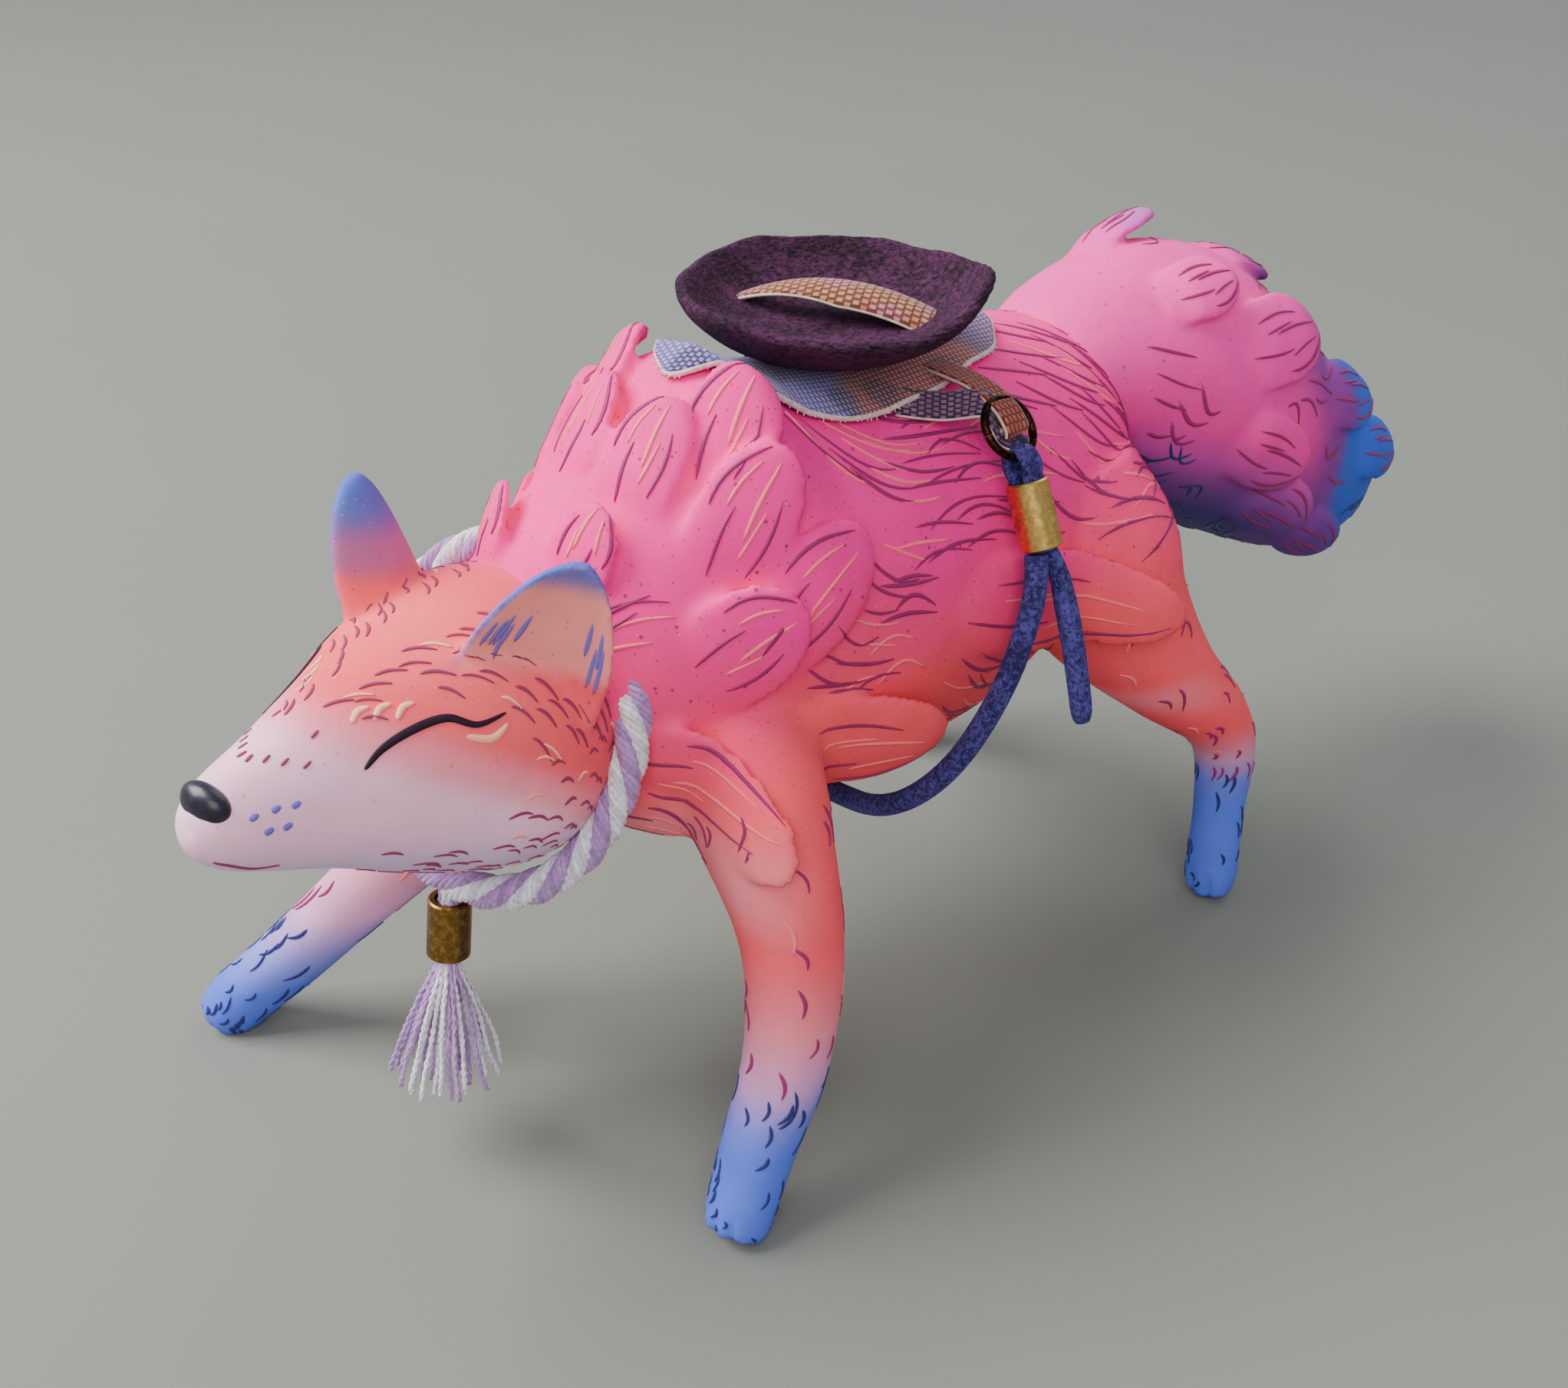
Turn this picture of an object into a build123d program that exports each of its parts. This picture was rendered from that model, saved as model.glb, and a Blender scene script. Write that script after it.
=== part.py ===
from build123d import *
import os
from math import cos, radians, sin

# A hand-sized clay fox: baked clay over a foil core and a wire armature, with a
# rope collar, a felt dish on a woven saddle cloth and a suede lace for a girth.
# Built with the soles on z = 0, +X towards the nose and +Y to the fox's left,
# the spine in the plane y = 0. place() then centres it over its own footprint.

FOOTPRINT_X, FOOTPRINT_Y = -6.59, -4.05   # middle of the bounding box before it is centred

# Clay forms, as stations: x, y, z of the centre, half width, half height.
TORSO = [(-46, 0, 62, 4, 5), (-42, 0, 61.5, 12, 13.5), (-32, 0, 58.5, 19.5, 22),
         (-14, 0, 56.2, 22, 25.8), (2, 0, 56.3, 22.5, 26), (14, 0, 58.2, 22, 26.2),
         (22, 0, 60.5, 21, 29), (32, 0, 59.5, 18.5, 23.5), (42, -1.5, 57, 16.5, 19.5),
         (49, -3.5, 53.5, 15, 17)]
# The head's stations are x along the muzzle, z, half width, half height.
HEAD = [(-6, 1, 14, 15.5), (2, 1, 16.5, 16.5), (10, 1, 16, 15.5), (18, 0.5, 13, 13),
        (26, -0.5, 9.2, 9.8), (33, -1.5, 6, 7), (38, -2.2, 4.2, 5), (41.5, -2.2, 2.2, 2.6)]
# Round limbs, as points with a radius: x, y, z, radius.
FRONT_LEG_LEFT = [(28, 16, 52, 10), (30, 23, 43, 7), (31.5, 27, 30, 5.6), (35, 29, 18, 4.8),
                  (42, 30.5, 8, 4.2), (46.5, 32, 0, 3.7)]
FRONT_LEG_RIGHT = [(34, -13, 46, 9), (42, -16, 37, 6.5), (54, -26, 21, 4.6), (62, -34, 10, 4.2),
                   (69, -40, 0, 3.8)]
HIND_LEG_LEFT = [(-30, 12, 58, 13), (-32, 18, 48, 10.5), (-36, 23, 40, 8), (-43, 28, 31, 5.2),
                 (-47, 29.5, 24, 4.3), (-46, 31, 13, 3.4), (-45, 32, 0, 3.3)]
HIND_LEG_RIGHT = [(-30, -12, 58, 13), (-31, -17, 48, 10.5), (-34, -21, 40, 8), (-41, -24, 31, 5.2),
                  (-45, -25, 24, 4.3), (-43, -26, 13, 3.4), (-42, -26, 0, 3.3)]
TAIL = [(-34, 0, 65, 9), (-45, 1, 70, 14), (-57, 3, 67, 18), (-69, 6, 59, 17.5),
        (-80, 8, 51, 15.5), (-89, 9.5, 45, 13.5), (-97, 10, 41.5, 9), (-101, 10, 40, 3)]

# Head pose: the middle of the neck joint, then turn, lift and tilt in degrees.
HEAD_AT = (48, -3.5, 53)
HEAD_TURN, HEAD_LIFT, HEAD_TILT = 13, 16, -6

# Leaf-shaped clay tufts: root, tip, width, how far the tip stands off the coat.
LEFT_TUFTS = {
    "mane_tuft_upper": ((31, 12, 79), (20, 8.4, 89.5), 9.5, 2.2),
    "mane_tuft_crest": ((37, 5, 79.5), (28, 4.5, 88), 8, 1.8),
    "mane_tuft_lower": ((34, 16.5, 71.5), (22.5, 14.5, 83), 8.5, 2.2),
    "shoulder_tuft": ((32, 19, 62), (15, 20.8, 73.5), 10, 1.4),
    "neck_tuft_upper": ((42, 14, 61), (28, 20.5, 67), 10.5, 2.4),
    "neck_tuft_middle": ((43, 13.5, 51), (28, 19.5, 47), 12, 2.6),
    "neck_tuft_lower": ((44, 9, 41.5), (31, 14, 38.5), 10, 2.4),
    "elbow_tuft": ((25, 22.5, 47), (6, 25.5, 42), 8.5, 1.6),
    "hip_tuft": ((4, 22.0, 61), (-30, 25.4, 50), 9, 0.9),
}
MIDLINE_TUFTS = {
    "nape_tuft_left": ((47, 4, 72), (39, 6, 79), 8, 2.4),
    "nape_tuft_right": ((48, -9, 71.5), (40, -8, 78), 8, 2.6),
    "belly_tuft_front": ((2, 9, 32.5), (-9, 11, 31.5), 7, 1.8),
    "belly_tuft_back": ((-14, 8, 32), (-25, 11, 33.5), 7, 1.8),
    "tail_tuft_top": ((-52, -3, 84), (-63, -2, 86), 9, 3.0),
    "tail_tuft_left": ((-49, 12, 80), (-58, 15, 82), 8, 2.2),
    "tail_tuft_big": ((-57, 18, 72), (-72, 18, 73), 12, 2.6),
    "tail_tuft_side": ((-56, 20, 62), (-69, 23, 55), 10, 2.0),
    "tail_tuft_low": ((-62, 19, 52), (-74, 22, 45), 10, 2.6),
    "tail_tip_tuft_outer": ((-91, 19, 49), (-100, 20, 47), 9, 2.4),
    "tail_tip_tuft_lower": ((-80, 18, 41), (-87, 23, 34), 9, 2.4),
}

LEG_WIRE, SPINE_WIRE = 0.8, 1.0         # wire radii
CORE_HALF_LENGTH, CORE_RADIUS = 24, 13
SKULL_CORE_RADIUS = 8.5

COLLAR_ROPE = 2.0                       # rope radius
COLLAR_WIDE, COLLAR_TALL = 17.6, 19.4   # half sizes of the rope's centre line
COLLAR_LEAN = 7.5                       # degrees that its foot leans forward

BEAD_OUTER = 2.5                        # both brass tubes
DROP_LEAN = 8.0                         # degrees that the tassel leans forward
DROP_GAP = 0.45                         # between the collar rope and the bead's mouth
DROP_BEAD_BORE, DROP_BEAD_LENGTH = 1.75, 7.4
ROPE_END = 1.68                         # the two rope ends, side by side in the bead
BEAD_TRAVEL = 2.5
TASSEL_LENGTH, TASSEL_FLARE = 18.0, 4.6

CLOTH = 1.2                             # saddle cloth thickness
CLOTH_AT, CLOTH_HALF_LENGTH, CLOTH_HALF_WIDTH = (0, 0), 24, 13.5
DISH_AT = (0.5, 0)
DISH_FLOOR, DISH_RIM, DISH_SEAT = 86.6, 91.8, 83.0
DISH_RIM_RADIUS, DISH_WALL = 17.3, 1.7

HANGER_X, HANGER_WIDTH, HANGER_THICK = -8.6, 3.2, 0.9
RING_AT, RING_RADIUS, RING_WIRE = (-8.6, 19.4, 77.4), 3.5, 0.5
RING_FACES = (0, 0.786, 0.618)          # the ring's axis, square to the flank
FOLD = 1.3                              # inside radius of what is folded over the ring

FLANK_BEAD_AT, FLANK_BEAD_LENGTH, FLANK_BEAD_BORE = (-8.6, 22.4, 71.9), 8.0, 2.1
FLANK_BEAD_LEAN = 22.0                  # degrees that its foot leans out
LACE_WIDTH, LACE_RADIUS = 3.0, 1.25     # across the loop, and rolled round under the belly
LACE_END_GAP, LACE_END_LENGTH, LACE_END_RADIUS = 1.0, 21.5, 1.5


def place(piece, name):
    """Centre the piece over the footprint, label it and write it."""
    piece.part.label = name
    centred = piece.part.moved(Location((-FOOTPRINT_X, -FOOTPRINT_Y, 0)))
    centred.label = name
    export_step(centred, f"parts/{name}.step")


def largest(piece):
    """Keep the largest solid of a piece, without the crumbs a cut may leave."""
    with BuildPart() as kept:
        add(piece.part.solids().sort_by(SortBy.VOLUME)[-1])
    return kept


def carved(form, *neighbours):
    """A form with its neighbours' shapes taken out of it."""
    with BuildPart() as piece:
        add(form.part)
        for neighbour in neighbours:
            add(neighbour.part, mode=Mode.SUBTRACT)
    return largest(piece)


def mirrored(piece):
    """The same piece on the fox's right."""
    with BuildPart() as other:
        mirror(piece.part, about=Plane.XZ, mode=Mode.ADD)
    return other


def across(point):
    """A point mirrored to the fox's right."""
    return (point[0], -point[1], point[2])


def barrel_form(stations):
    """Ellipses square to X, lofted."""
    with BuildPart() as form:
        for x, y, z, half_width, half_height in stations:
            with BuildSketch(Plane(origin=(x, y, z), x_dir=(0, 1, 0), z_dir=(1, 0, 0))):
                Ellipse(half_width, half_height)
        loft()
    return form


def limb_form(points, sole=False):
    """Circles square to the limb's line, lofted. A limb with a sole ends flat on the ground."""
    places = [Vector(*point[:3]) for point in points]
    last = len(places) - 1
    with BuildPart() as form:
        for index, point in enumerate(points):
            run = places[min(index + 1, last)] - places[max(index - 1, 0)]
            if sole and index == last:
                run = Vector(0, 0, -1)
            side = run.cross(Vector(0, 1, 0.2))
            with BuildSketch(Plane(origin=places[index], x_dir=side, z_dir=run)):
                Circle(point[3])
        loft()
    return form


def head_axes():
    """The head's own plane: x along the muzzle, z up through the crown."""
    turn, lift, tilt = (radians(angle) for angle in (HEAD_TURN, HEAD_LIFT, HEAD_TILT))
    muzzle = Vector(cos(turn) * cos(lift), sin(turn) * cos(lift), sin(lift))
    level = Vector(-sin(turn), cos(turn), 0)
    crown = muzzle.cross(level)
    return Plane(origin=HEAD_AT, x_dir=muzzle, z_dir=crown * cos(tilt) - level * sin(tilt))


HEAD_PLANE = head_axes()
MUZZLE, TOWARDS_LEFT = HEAD_PLANE.x_dir, HEAD_PLANE.y_dir


def in_head(x, y, z):
    """A point given in the head's own axes."""
    return HEAD_PLANE.from_local_coords(Vector(x, y, z))


def head_form():
    """Ellipses square to the muzzle, lofted."""
    with BuildPart() as form:
        for x, z, half_width, half_height in HEAD:
            with BuildSketch(Plane(origin=in_head(x, 0, z), x_dir=TOWARDS_LEFT, z_dir=MUZZLE)):
                Ellipse(half_width, half_height)
        loft()
    return form


def egg(centre, axis, half_length, radius):
    """An ellipsoid about an axis, lofted through circles, with small flats at its poles."""
    axis = Vector(*axis).normalized()
    with BuildPart() as form:
        for angle in (-80, -60, -30, 0, 30, 60, 80):
            origin = Vector(*centre) + axis * (half_length * sin(radians(angle)))
            with BuildSketch(Plane(origin=origin, x_dir=axis.cross(Vector(0, 0.3, 1)), z_dir=axis)):
                Circle(radius * cos(radians(angle)))
        loft()
    return form


def ear_form(side):
    """A cupped leaf: lofted lens sections with a scoop out of the inner face."""
    front, back, tip = (Vector(17.4, side * 6.1, 11.6), Vector(0.3, side * 11.4, 7.5),
                        Vector(13.6, side * 14.3, 24.3))
    middle = (front + back) * 0.5
    along, rise = front - back, tip - middle
    facing = along.cross(rise).normalized() * side

    def lens_plane(share, lift):
        origin = in_head(*(middle + rise * share + facing * lift))
        towards = in_head(*(middle + along)) - in_head(*middle)
        normal = in_head(*(middle + rise)) - in_head(*middle)
        normal = normal - towards * (normal.dot(towards) / towards.dot(towards))
        return Plane(origin=origin, x_dir=towards, z_dir=normal)

    with BuildPart() as ear:
        for share, width, thickness in ((-0.25, 17, 7), (0.1, 17, 6), (0.5, 12.5, 4.6),
                                        (0.8, 6.5, 3), (1.0, 1.6, 1.4)):
            with BuildSketch(lens_plane(share, 0)):
                Ellipse(width / 2, thickness / 2)
        loft()
    with BuildPart() as scoop:
        for share, width, thickness in ((0.12, 11, 3.2), (0.5, 8, 3.0), (0.82, 2.5, 1.2)):
            with BuildSketch(lens_plane(share, -1.9)):
                Ellipse(width / 2, thickness / 2)
        loft()
    return carved(ear, scoop)


def tuft_form(root, tip, width, lift, centre):
    """A clay leaf from a buried root to a lifted, rounded tip, bowed away from a centre line."""
    root, tip = Vector(*root), Vector(*tip)
    outward = ((root + tip) * 0.5 - Vector(*centre)).normalized()
    along = tip - root
    with BuildPart() as form:
        for share, breadth, thickness, height in ((0, 0.45, 2.4, -1.0), (0.3, 0.9, 3.4, 0.1),
                                                  (0.6, 1.0, 3.4, 0.5), (0.85, 0.72, 2.8, 0.8),
                                                  (1.0, 0.22, 1.6, 0.9)):
            origin = root + along * share + outward * (height * lift * share - 1.2 * (1 - share))
            with BuildSketch(Plane(origin=origin, x_dir=along.cross(outward), z_dir=along)):
                Ellipse(width * breadth / 2, thickness / 2)
        loft()
    return form


def wire(points, radius, bend):
    """A round wire along straight runs joined by tangent arcs."""
    with BuildPart() as form:
        with BuildLine() as path:
            FilletPolyline(*points, radius=bend)
        with BuildSketch(Plane(origin=path.line @ 0, z_dir=path.line % 0)):
            Circle(radius)
        sweep(path=path.line)
    return form


def front_leg_wire():
    """One wire from paw to paw over the chest."""
    return wire([(46.2, 31.9, 3), (41, 30.4, 10), (32.5, 27.5, 28), (30, 22, 42), (31, 9, 50),
                 (33, -6, 49), (41, -15.5, 38), (53, -25.5, 22), (67, -38.4, 3)], LEG_WIRE, 3)


def hind_leg_wire():
    """One wire from paw to paw over the hips."""
    return wire([(-45, 31.7, 3), (-47, 29.6, 23), (-36, 23, 40), (-31, 13, 56), (-30, -13, 56),
                 (-33.5, -20.5, 41), (-45, -25, 23), (-42, -26, 3)], LEG_WIRE, 3)


def spine_wire():
    """One wire from the muzzle through the neck and the back to the tail's tip."""
    return wire([in_head(28, 0, 0), in_head(6, 0, 0), (30, -1, 60), (-28, 0, 62), (-46, 1, 69),
                 (-58, 3, 66), (-80, 8, 51), (-92, 9.6, 44.5)], SPINE_WIRE, 5)


def collar_plane():
    """The plane of the collar, its foot leaning forward."""
    lean = radians(COLLAR_LEAN)
    facing = MUZZLE * cos(lean) + HEAD_PLANE.z_dir * sin(lean)
    return Plane(origin=HEAD_AT, x_dir=TOWARDS_LEFT, z_dir=facing)


def collar_cord():
    """A closed ring of rope, round the joint of neck and head."""
    ring = collar_plane()
    corners = 12
    corner_x = COLLAR_WIDE / cos(radians(180 / corners))
    corner_y = COLLAR_TALL / cos(radians(180 / corners))
    with BuildPart() as cord:
        with BuildLine(ring) as path:
            points = [(corner_x * cos(radians(angle)), corner_y * sin(radians(angle)))
                      for angle in range(15, 375, 360 // corners)]
            FilletPolyline(*points, radius=15, close=True)
        with BuildSketch(Plane(origin=path.line @ 0, z_dir=path.line % 0)):
            Circle(COLLAR_ROPE)
        sweep(path=path.line)
    return cord


def drop_plane(along):
    """A plane square to the tassel's line, so far below the bead's upper mouth."""
    lean = radians(DROP_LEAN)
    down = Vector(sin(lean), 0, -cos(lean))
    collar_foot = collar_plane().from_local_coords(Vector(0, -COLLAR_TALL, 0))
    top = collar_foot + down * (COLLAR_ROPE + DROP_GAP)
    return Plane(origin=top + down * along, x_dir=(0, 1, 0), z_dir=down)


def tassel():
    """The collar rope's two ends through the bead, and their frayed skirt below it."""
    skirt_from = DROP_BEAD_LENGTH + BEAD_TRAVEL
    with BuildPart() as piece:
        with BuildSketch(drop_plane(-0.1)):
            Circle(ROPE_END)
        extrude(amount=skirt_from + 0.1)
        for along, radius in ((skirt_from, ROPE_END), (skirt_from + 5, 3.1),
                              (DROP_BEAD_LENGTH + TASSEL_LENGTH, TASSEL_FLARE)):
            with BuildSketch(drop_plane(along)):
                Circle(radius)
        loft()
    return piece


def collar_bead():
    """A brass tube that slides on the rope ends."""
    with BuildPart() as bead:
        with BuildSketch(drop_plane(0)):
            Circle(BEAD_OUTER)
            Circle(DROP_BEAD_BORE, mode=Mode.SUBTRACT)
        extrude(amount=DROP_BEAD_LENGTH)
        chamfer(bead.edges().filter_by(GeomType.CIRCLE).group_by(SortBy.RADIUS)[-1], 0.2)
    return bead


def saddle_cloth(torso):
    """An oval of woven cloth, draped along the back."""
    over = [(x, y, z, half_width + CLOTH, half_height + CLOTH)
            for x, y, z, half_width, half_height in TORSO]
    skin = barrel_form(over)
    with BuildPart() as cloth:
        with BuildSketch(Plane.XY.offset(70)):
            with Locations(CLOTH_AT):
                Ellipse(CLOTH_HALF_LENGTH, CLOTH_HALF_WIDTH)
        extrude(amount=30)
        add(skin.part, mode=Mode.INTERSECT)
        add(torso.part, mode=Mode.SUBTRACT)
    return largest(cloth)


def saddle_dish():
    """A round felt dish with a rolled rim."""
    x, y = DISH_AT
    rim, wall = DISH_RIM_RADIUS, DISH_WALL
    profile = [(0, DISH_SEAT), (rim - 6, DISH_SEAT), (rim - 0.8, DISH_FLOOR), (rim, DISH_RIM - 0.6),
               (rim - 0.5, DISH_RIM), (rim - wall, DISH_RIM - 0.2), (rim - wall - 0.8, DISH_FLOOR + 1.6),
               (rim - wall - 3, DISH_FLOOR), (0, DISH_FLOOR)]
    with BuildPart() as dish:
        with BuildSketch(Plane(origin=(x, y, 0), x_dir=(1, 0, 0), z_dir=(0, -1, 0))):
            with BuildLine():
                Polyline(*profile, close=True)
            make_face()
        revolve(axis=Axis((x, y, 0), (0, 0, 1)), revolution_arc=360)
    return dish


def dish_strap():
    """A woven strap that arches over the dish's floor, both ends stitched down."""
    start, end = Vector(2.5, -12.5, DISH_FLOOR), Vector(-6, 8, DISH_FLOOR)
    middle = (start + end) * 0.5
    along = end - start
    half, rise, thick = along.length / 2, 4.0, 0.8
    with BuildPart() as strap:
        side = along.cross(Vector(0, 0, 1))
        with BuildSketch(Plane(origin=middle, x_dir=along, z_dir=side)):
            with BuildLine():
                ThreePointArc((-half, 0), (0, rise), (half, 0))
                Line((half, 0), (half - 1.6, 0))
                ThreePointArc((half - 1.6, 0), (0, rise - thick), (1.6 - half, 0))
                Line((1.6 - half, 0), (-half, 0))
            make_face()
        extrude(amount=2.6, both=True)
    return strap


def fold_plane():
    """The plane across the flank in which the hanger strap and the lace's loop bend."""
    return Plane(origin=(HANGER_X, 0, 0), x_dir=(0, 1, 0), z_dir=(1, 0, 0))


def ring_edge(sense):
    """Where the ring's wire crosses the fold plane, above (+1) or below (-1)."""
    return Vector(RING_AT[1] - sense * RING_RADIUS * RING_FACES[2],
                  RING_AT[2] + sense * RING_RADIUS * RING_FACES[1])


def jump_ring():
    """A round wire ring with a narrow cut."""
    facing = Vector(*RING_FACES)
    with BuildPart() as ring:
        with BuildSketch(Plane(origin=Vector(*RING_AT) + Vector(RING_RADIUS, 0, 0),
                               x_dir=(1, 0, 0), z_dir=facing.cross(Vector(1, 0, 0)))):
            Circle(RING_WIRE)
        revolve(axis=Axis(RING_AT, facing), revolution_arc=358)
    return ring


def hanger(cloth, torso, dish):
    """A woven strap from the saddle cloth, folded over the ring and back under itself."""
    wire_at = ring_edge(1)
    middle = FOLD + HANGER_THICK / 2
    out = Vector(RING_FACES[1], RING_FACES[2]) * middle
    up = Vector(-RING_FACES[2], RING_FACES[1])
    foot = wire_at - up * middle
    outer, inner = wire_at + out, wire_at - out
    with BuildPart() as strap:
        with BuildSketch(fold_plane()):
            with BuildLine() as line:
                Polyline((6.5, 84.0), (10.0, 83.6), outer + up * 1.5, outer)
                ThreePointArc(outer, foot, inner)
                Polyline(inner, inner + up * 1.0, (10.5, 82.2))
            trace(line.line, line_width=HANGER_THICK)
        extrude(amount=HANGER_WIDTH / 2, both=True)
    return carved(strap, cloth, torso, dish)


def flank_plane(along):
    """A plane square to the flank bead's axis, so far below its top."""
    lean = radians(FLANK_BEAD_LEAN)
    down = Vector(0, sin(lean), -cos(lean))
    return Plane(origin=Vector(*FLANK_BEAD_AT) + down * along, x_dir=(1, 0, 0), z_dir=down)


def flank_bead():
    """A brass tube that grips the doubled lace."""
    with BuildPart() as bead:
        with BuildSketch(flank_plane(0)):
            Circle(BEAD_OUTER)
            Circle(FLANK_BEAD_BORE, mode=Mode.SUBTRACT)
        extrude(amount=FLANK_BEAD_LENGTH)
        chamfer(bead.edges().filter_by(GeomType.CIRCLE).group_by(SortBy.RADIUS)[-1], 0.2)
    return bead


def lace_loop(torso, bead):
    """The lace doubled through the bead, with its loop over the ring."""
    wire_at = ring_edge(-1)
    out = Vector(RING_FACES[1], RING_FACES[2])
    up = Vector(-RING_FACES[2], RING_FACES[1])
    middle = FOLD + 0.7
    outer, inner = wire_at + out * middle, wire_at - out * middle
    mouth = Vector(FLANK_BEAD_AT[1], FLANK_BEAD_AT[2])
    lean = radians(FLANK_BEAD_LEAN)
    side = Vector(cos(lean), sin(lean))
    with BuildPart() as loop:
        with BuildSketch(fold_plane()):
            with BuildLine() as line:
                Polyline(mouth + side * 1.1, outer)
                ThreePointArc(outer, wire_at + up * middle, inner)
                Polyline(inner, mouth - side * 1.1)
            trace(line.line, line_width=1.4)
        extrude(amount=LACE_WIDTH / 2, both=True)
        with BuildSketch(flank_plane(-0.4)):
            Circle(FLANK_BEAD_BORE)
        extrude(amount=FLANK_BEAD_LENGTH + 0.4)
    return carved(loop, torso, bead)


def girth_lace():
    """The long end of the lace, from the left bead under the belly to the right bead."""
    start = flank_plane(FLANK_BEAD_LENGTH + 0.5).origin
    half_route = [(start.X + 1.3, start.Y, start.Z), (-5.6, 26.6, 58.5),
                  (-2.4, 26.6, 49), (0.8, 23.4, 38.5), (2.2, 15.2, 30.2), (2.4, 5.0, 27.2)]
    route = half_route + [across(point) for point in reversed(half_route)]
    radii = [8, 14, 12, 10, 12, 12, 10, 12, 14, 8]
    with BuildPart() as lace:
        with BuildLine() as path:
            FilletPolyline(*route, radius=radii)
        with BuildSketch(Plane(origin=path.line @ 0, z_dir=path.line % 0)):
            Circle(LACE_RADIUS)
        sweep(path=path.line)
    return lace


def lace_end():
    """The short end of the lace, which hangs free from the left bead."""
    with BuildPart() as lace:
        for along, side, radius in ((LACE_END_GAP, -1.3, 0.7), (4.0, -1.7, 1.2),
                                    (10, -1.1, LACE_END_RADIUS), (LACE_END_LENGTH, 0, 1.4)):
            plane = flank_plane(FLANK_BEAD_LENGTH + along)
            with BuildSketch(Plane(origin=plane.origin + Vector(side, 0, 0), x_dir=plane.x_dir,
                                   z_dir=plane.z_dir)):
                Circle(radius)
        loft()
    return lace


def make_tufts(skins, others):
    """Every tuft, cut where it meets the clay under it and the tufts laid before it."""
    laid = []
    wanted = []
    for name, (root, tip, width, lift) in LEFT_TUFTS.items():
        wanted.append((f"{name}_left", root, tip, width, lift))
        wanted.append((f"{name}_right", across(root), across(tip), width, lift))
    for name, (root, tip, width, lift) in MIDLINE_TUFTS.items():
        wanted.append((name, root, tip, width, lift))
    for name, root, tip, width, lift in wanted:
        centre = (tip[0], 0, 57) if tip[0] > -45 else (tip[0], 5, 60)
        form = tuft_form(root, tip, width, lift, centre)
        touching = [piece for piece in skins + others + laid if near(form, piece)]
        tuft = carved(form, *touching)
        laid.append(tuft)
        place(tuft, name)


def near(one, other):
    """Whether two pieces' boxes meet."""
    first, second = one.part.bounding_box(), other.part.bounding_box()
    return all(getattr(first.min, axis) < getattr(second.max, axis)
               and getattr(second.min, axis) < getattr(first.max, axis) for axis in "XYZ")


def main():
    os.makedirs("parts", exist_ok=True)

    core = egg((-3, 0, 58), (1, 0, 0), CORE_HALF_LENGTH, CORE_RADIUS)
    skull_core = egg(in_head(8, 0, 0.5), MUZZLE, SKULL_CORE_RADIUS, SKULL_CORE_RADIUS)
    spine, front_wire, hind_wire = spine_wire(), front_leg_wire(), hind_leg_wire()
    place(spine, "spine_wire")
    place(front_wire, "front_leg_wire")
    place(hind_wire, "hind_leg_wire")
    place(carved(core, spine), "foil_core_body")
    
    torso_form, skull_form, tail = barrel_form(TORSO), head_form(), limb_form(TAIL)
    place(carved(skull_core, spine, torso_form), "foil_core_head")
    collar = collar_cord()
    nose = egg(in_head(40.6, 0, -0.7), MUZZLE, 2.6, 3.1)
    place(collar, "collar_cord")
    place(carved(torso_form, core, spine, front_wire, hind_wire, collar), "torso")
    place(carved(skull_form, torso_form, skull_core, spine, collar, nose), "head")
    place(nose, "nose")
    place(carved(tail, torso_form, spine), "tail")

    legs = []
    for name, points, bone in (("front_leg_left", FRONT_LEG_LEFT, front_wire),
                               ("front_leg_right", FRONT_LEG_RIGHT, front_wire),
                               ("hind_leg_left", HIND_LEG_LEFT, hind_wire),
                               ("hind_leg_right", HIND_LEG_RIGHT, hind_wire)):
        leg = limb_form(points, sole=True)
        legs.append(leg)
        place(carved(leg, torso_form, bone), name)

    for name, side in (("ear_left", 1), ("ear_right", -1)):
        place(carved(ear_form(side), skull_form, torso_form, collar), name)

    drop_bead, drop = collar_bead(), tassel()
    place(drop_bead, "collar_bead")
    place(drop, "tassel")

    cloth = saddle_cloth(torso_form)
    dish = carved(saddle_dish(), cloth, torso_form)
    strap = carved(dish_strap(), dish)
    place(cloth, "saddle_cloth")
    place(dish, "saddle_dish")
    place(strap, "dish_strap")

    tube = flank_bead()
    loop, hang = lace_loop(torso_form, tube), hanger(cloth, torso_form, dish)
    girth = girth_lace()
    for name, piece in (("hanger", hang), ("jump_ring", jump_ring()), ("girth_bead", tube),
                        ("lace_loop", loop)):
        place(piece, f"{name}_left")
        place(mirrored(piece), f"{name}_right")
    free_end = lace_end()
    place(girth, "girth_lace")
    place(free_end, "lace_end")

    skins = [torso_form, skull_form, tail, collar] + legs
    others = [cloth, dish, girth, free_end, hang, mirrored(hang)]
    make_tufts(skins, others)


main()
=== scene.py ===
import math
from functools import partial
from types import SimpleNamespace

import bmesh
import bpy
import numpy as np
from bpy.props import FloatProperty, FloatVectorProperty, IntProperty, PointerProperty
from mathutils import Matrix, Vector


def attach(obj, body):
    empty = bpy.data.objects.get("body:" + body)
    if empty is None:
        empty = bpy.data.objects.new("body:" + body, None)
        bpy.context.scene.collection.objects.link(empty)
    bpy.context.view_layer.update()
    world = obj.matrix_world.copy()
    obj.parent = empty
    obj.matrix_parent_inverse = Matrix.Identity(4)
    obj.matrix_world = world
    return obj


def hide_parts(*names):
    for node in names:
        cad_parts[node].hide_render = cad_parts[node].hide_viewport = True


bl_info = {
    "name": "Clay Fox",
    "version": (1, 0, 0),
    "blender": (4, 5, 0),
    "location": "View3D > Sidebar > Clay Fox",
    "description": "Builds a painted clay fox with a rope collar and a saddle dish",
    "category": "Add Mesh",
}

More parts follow.
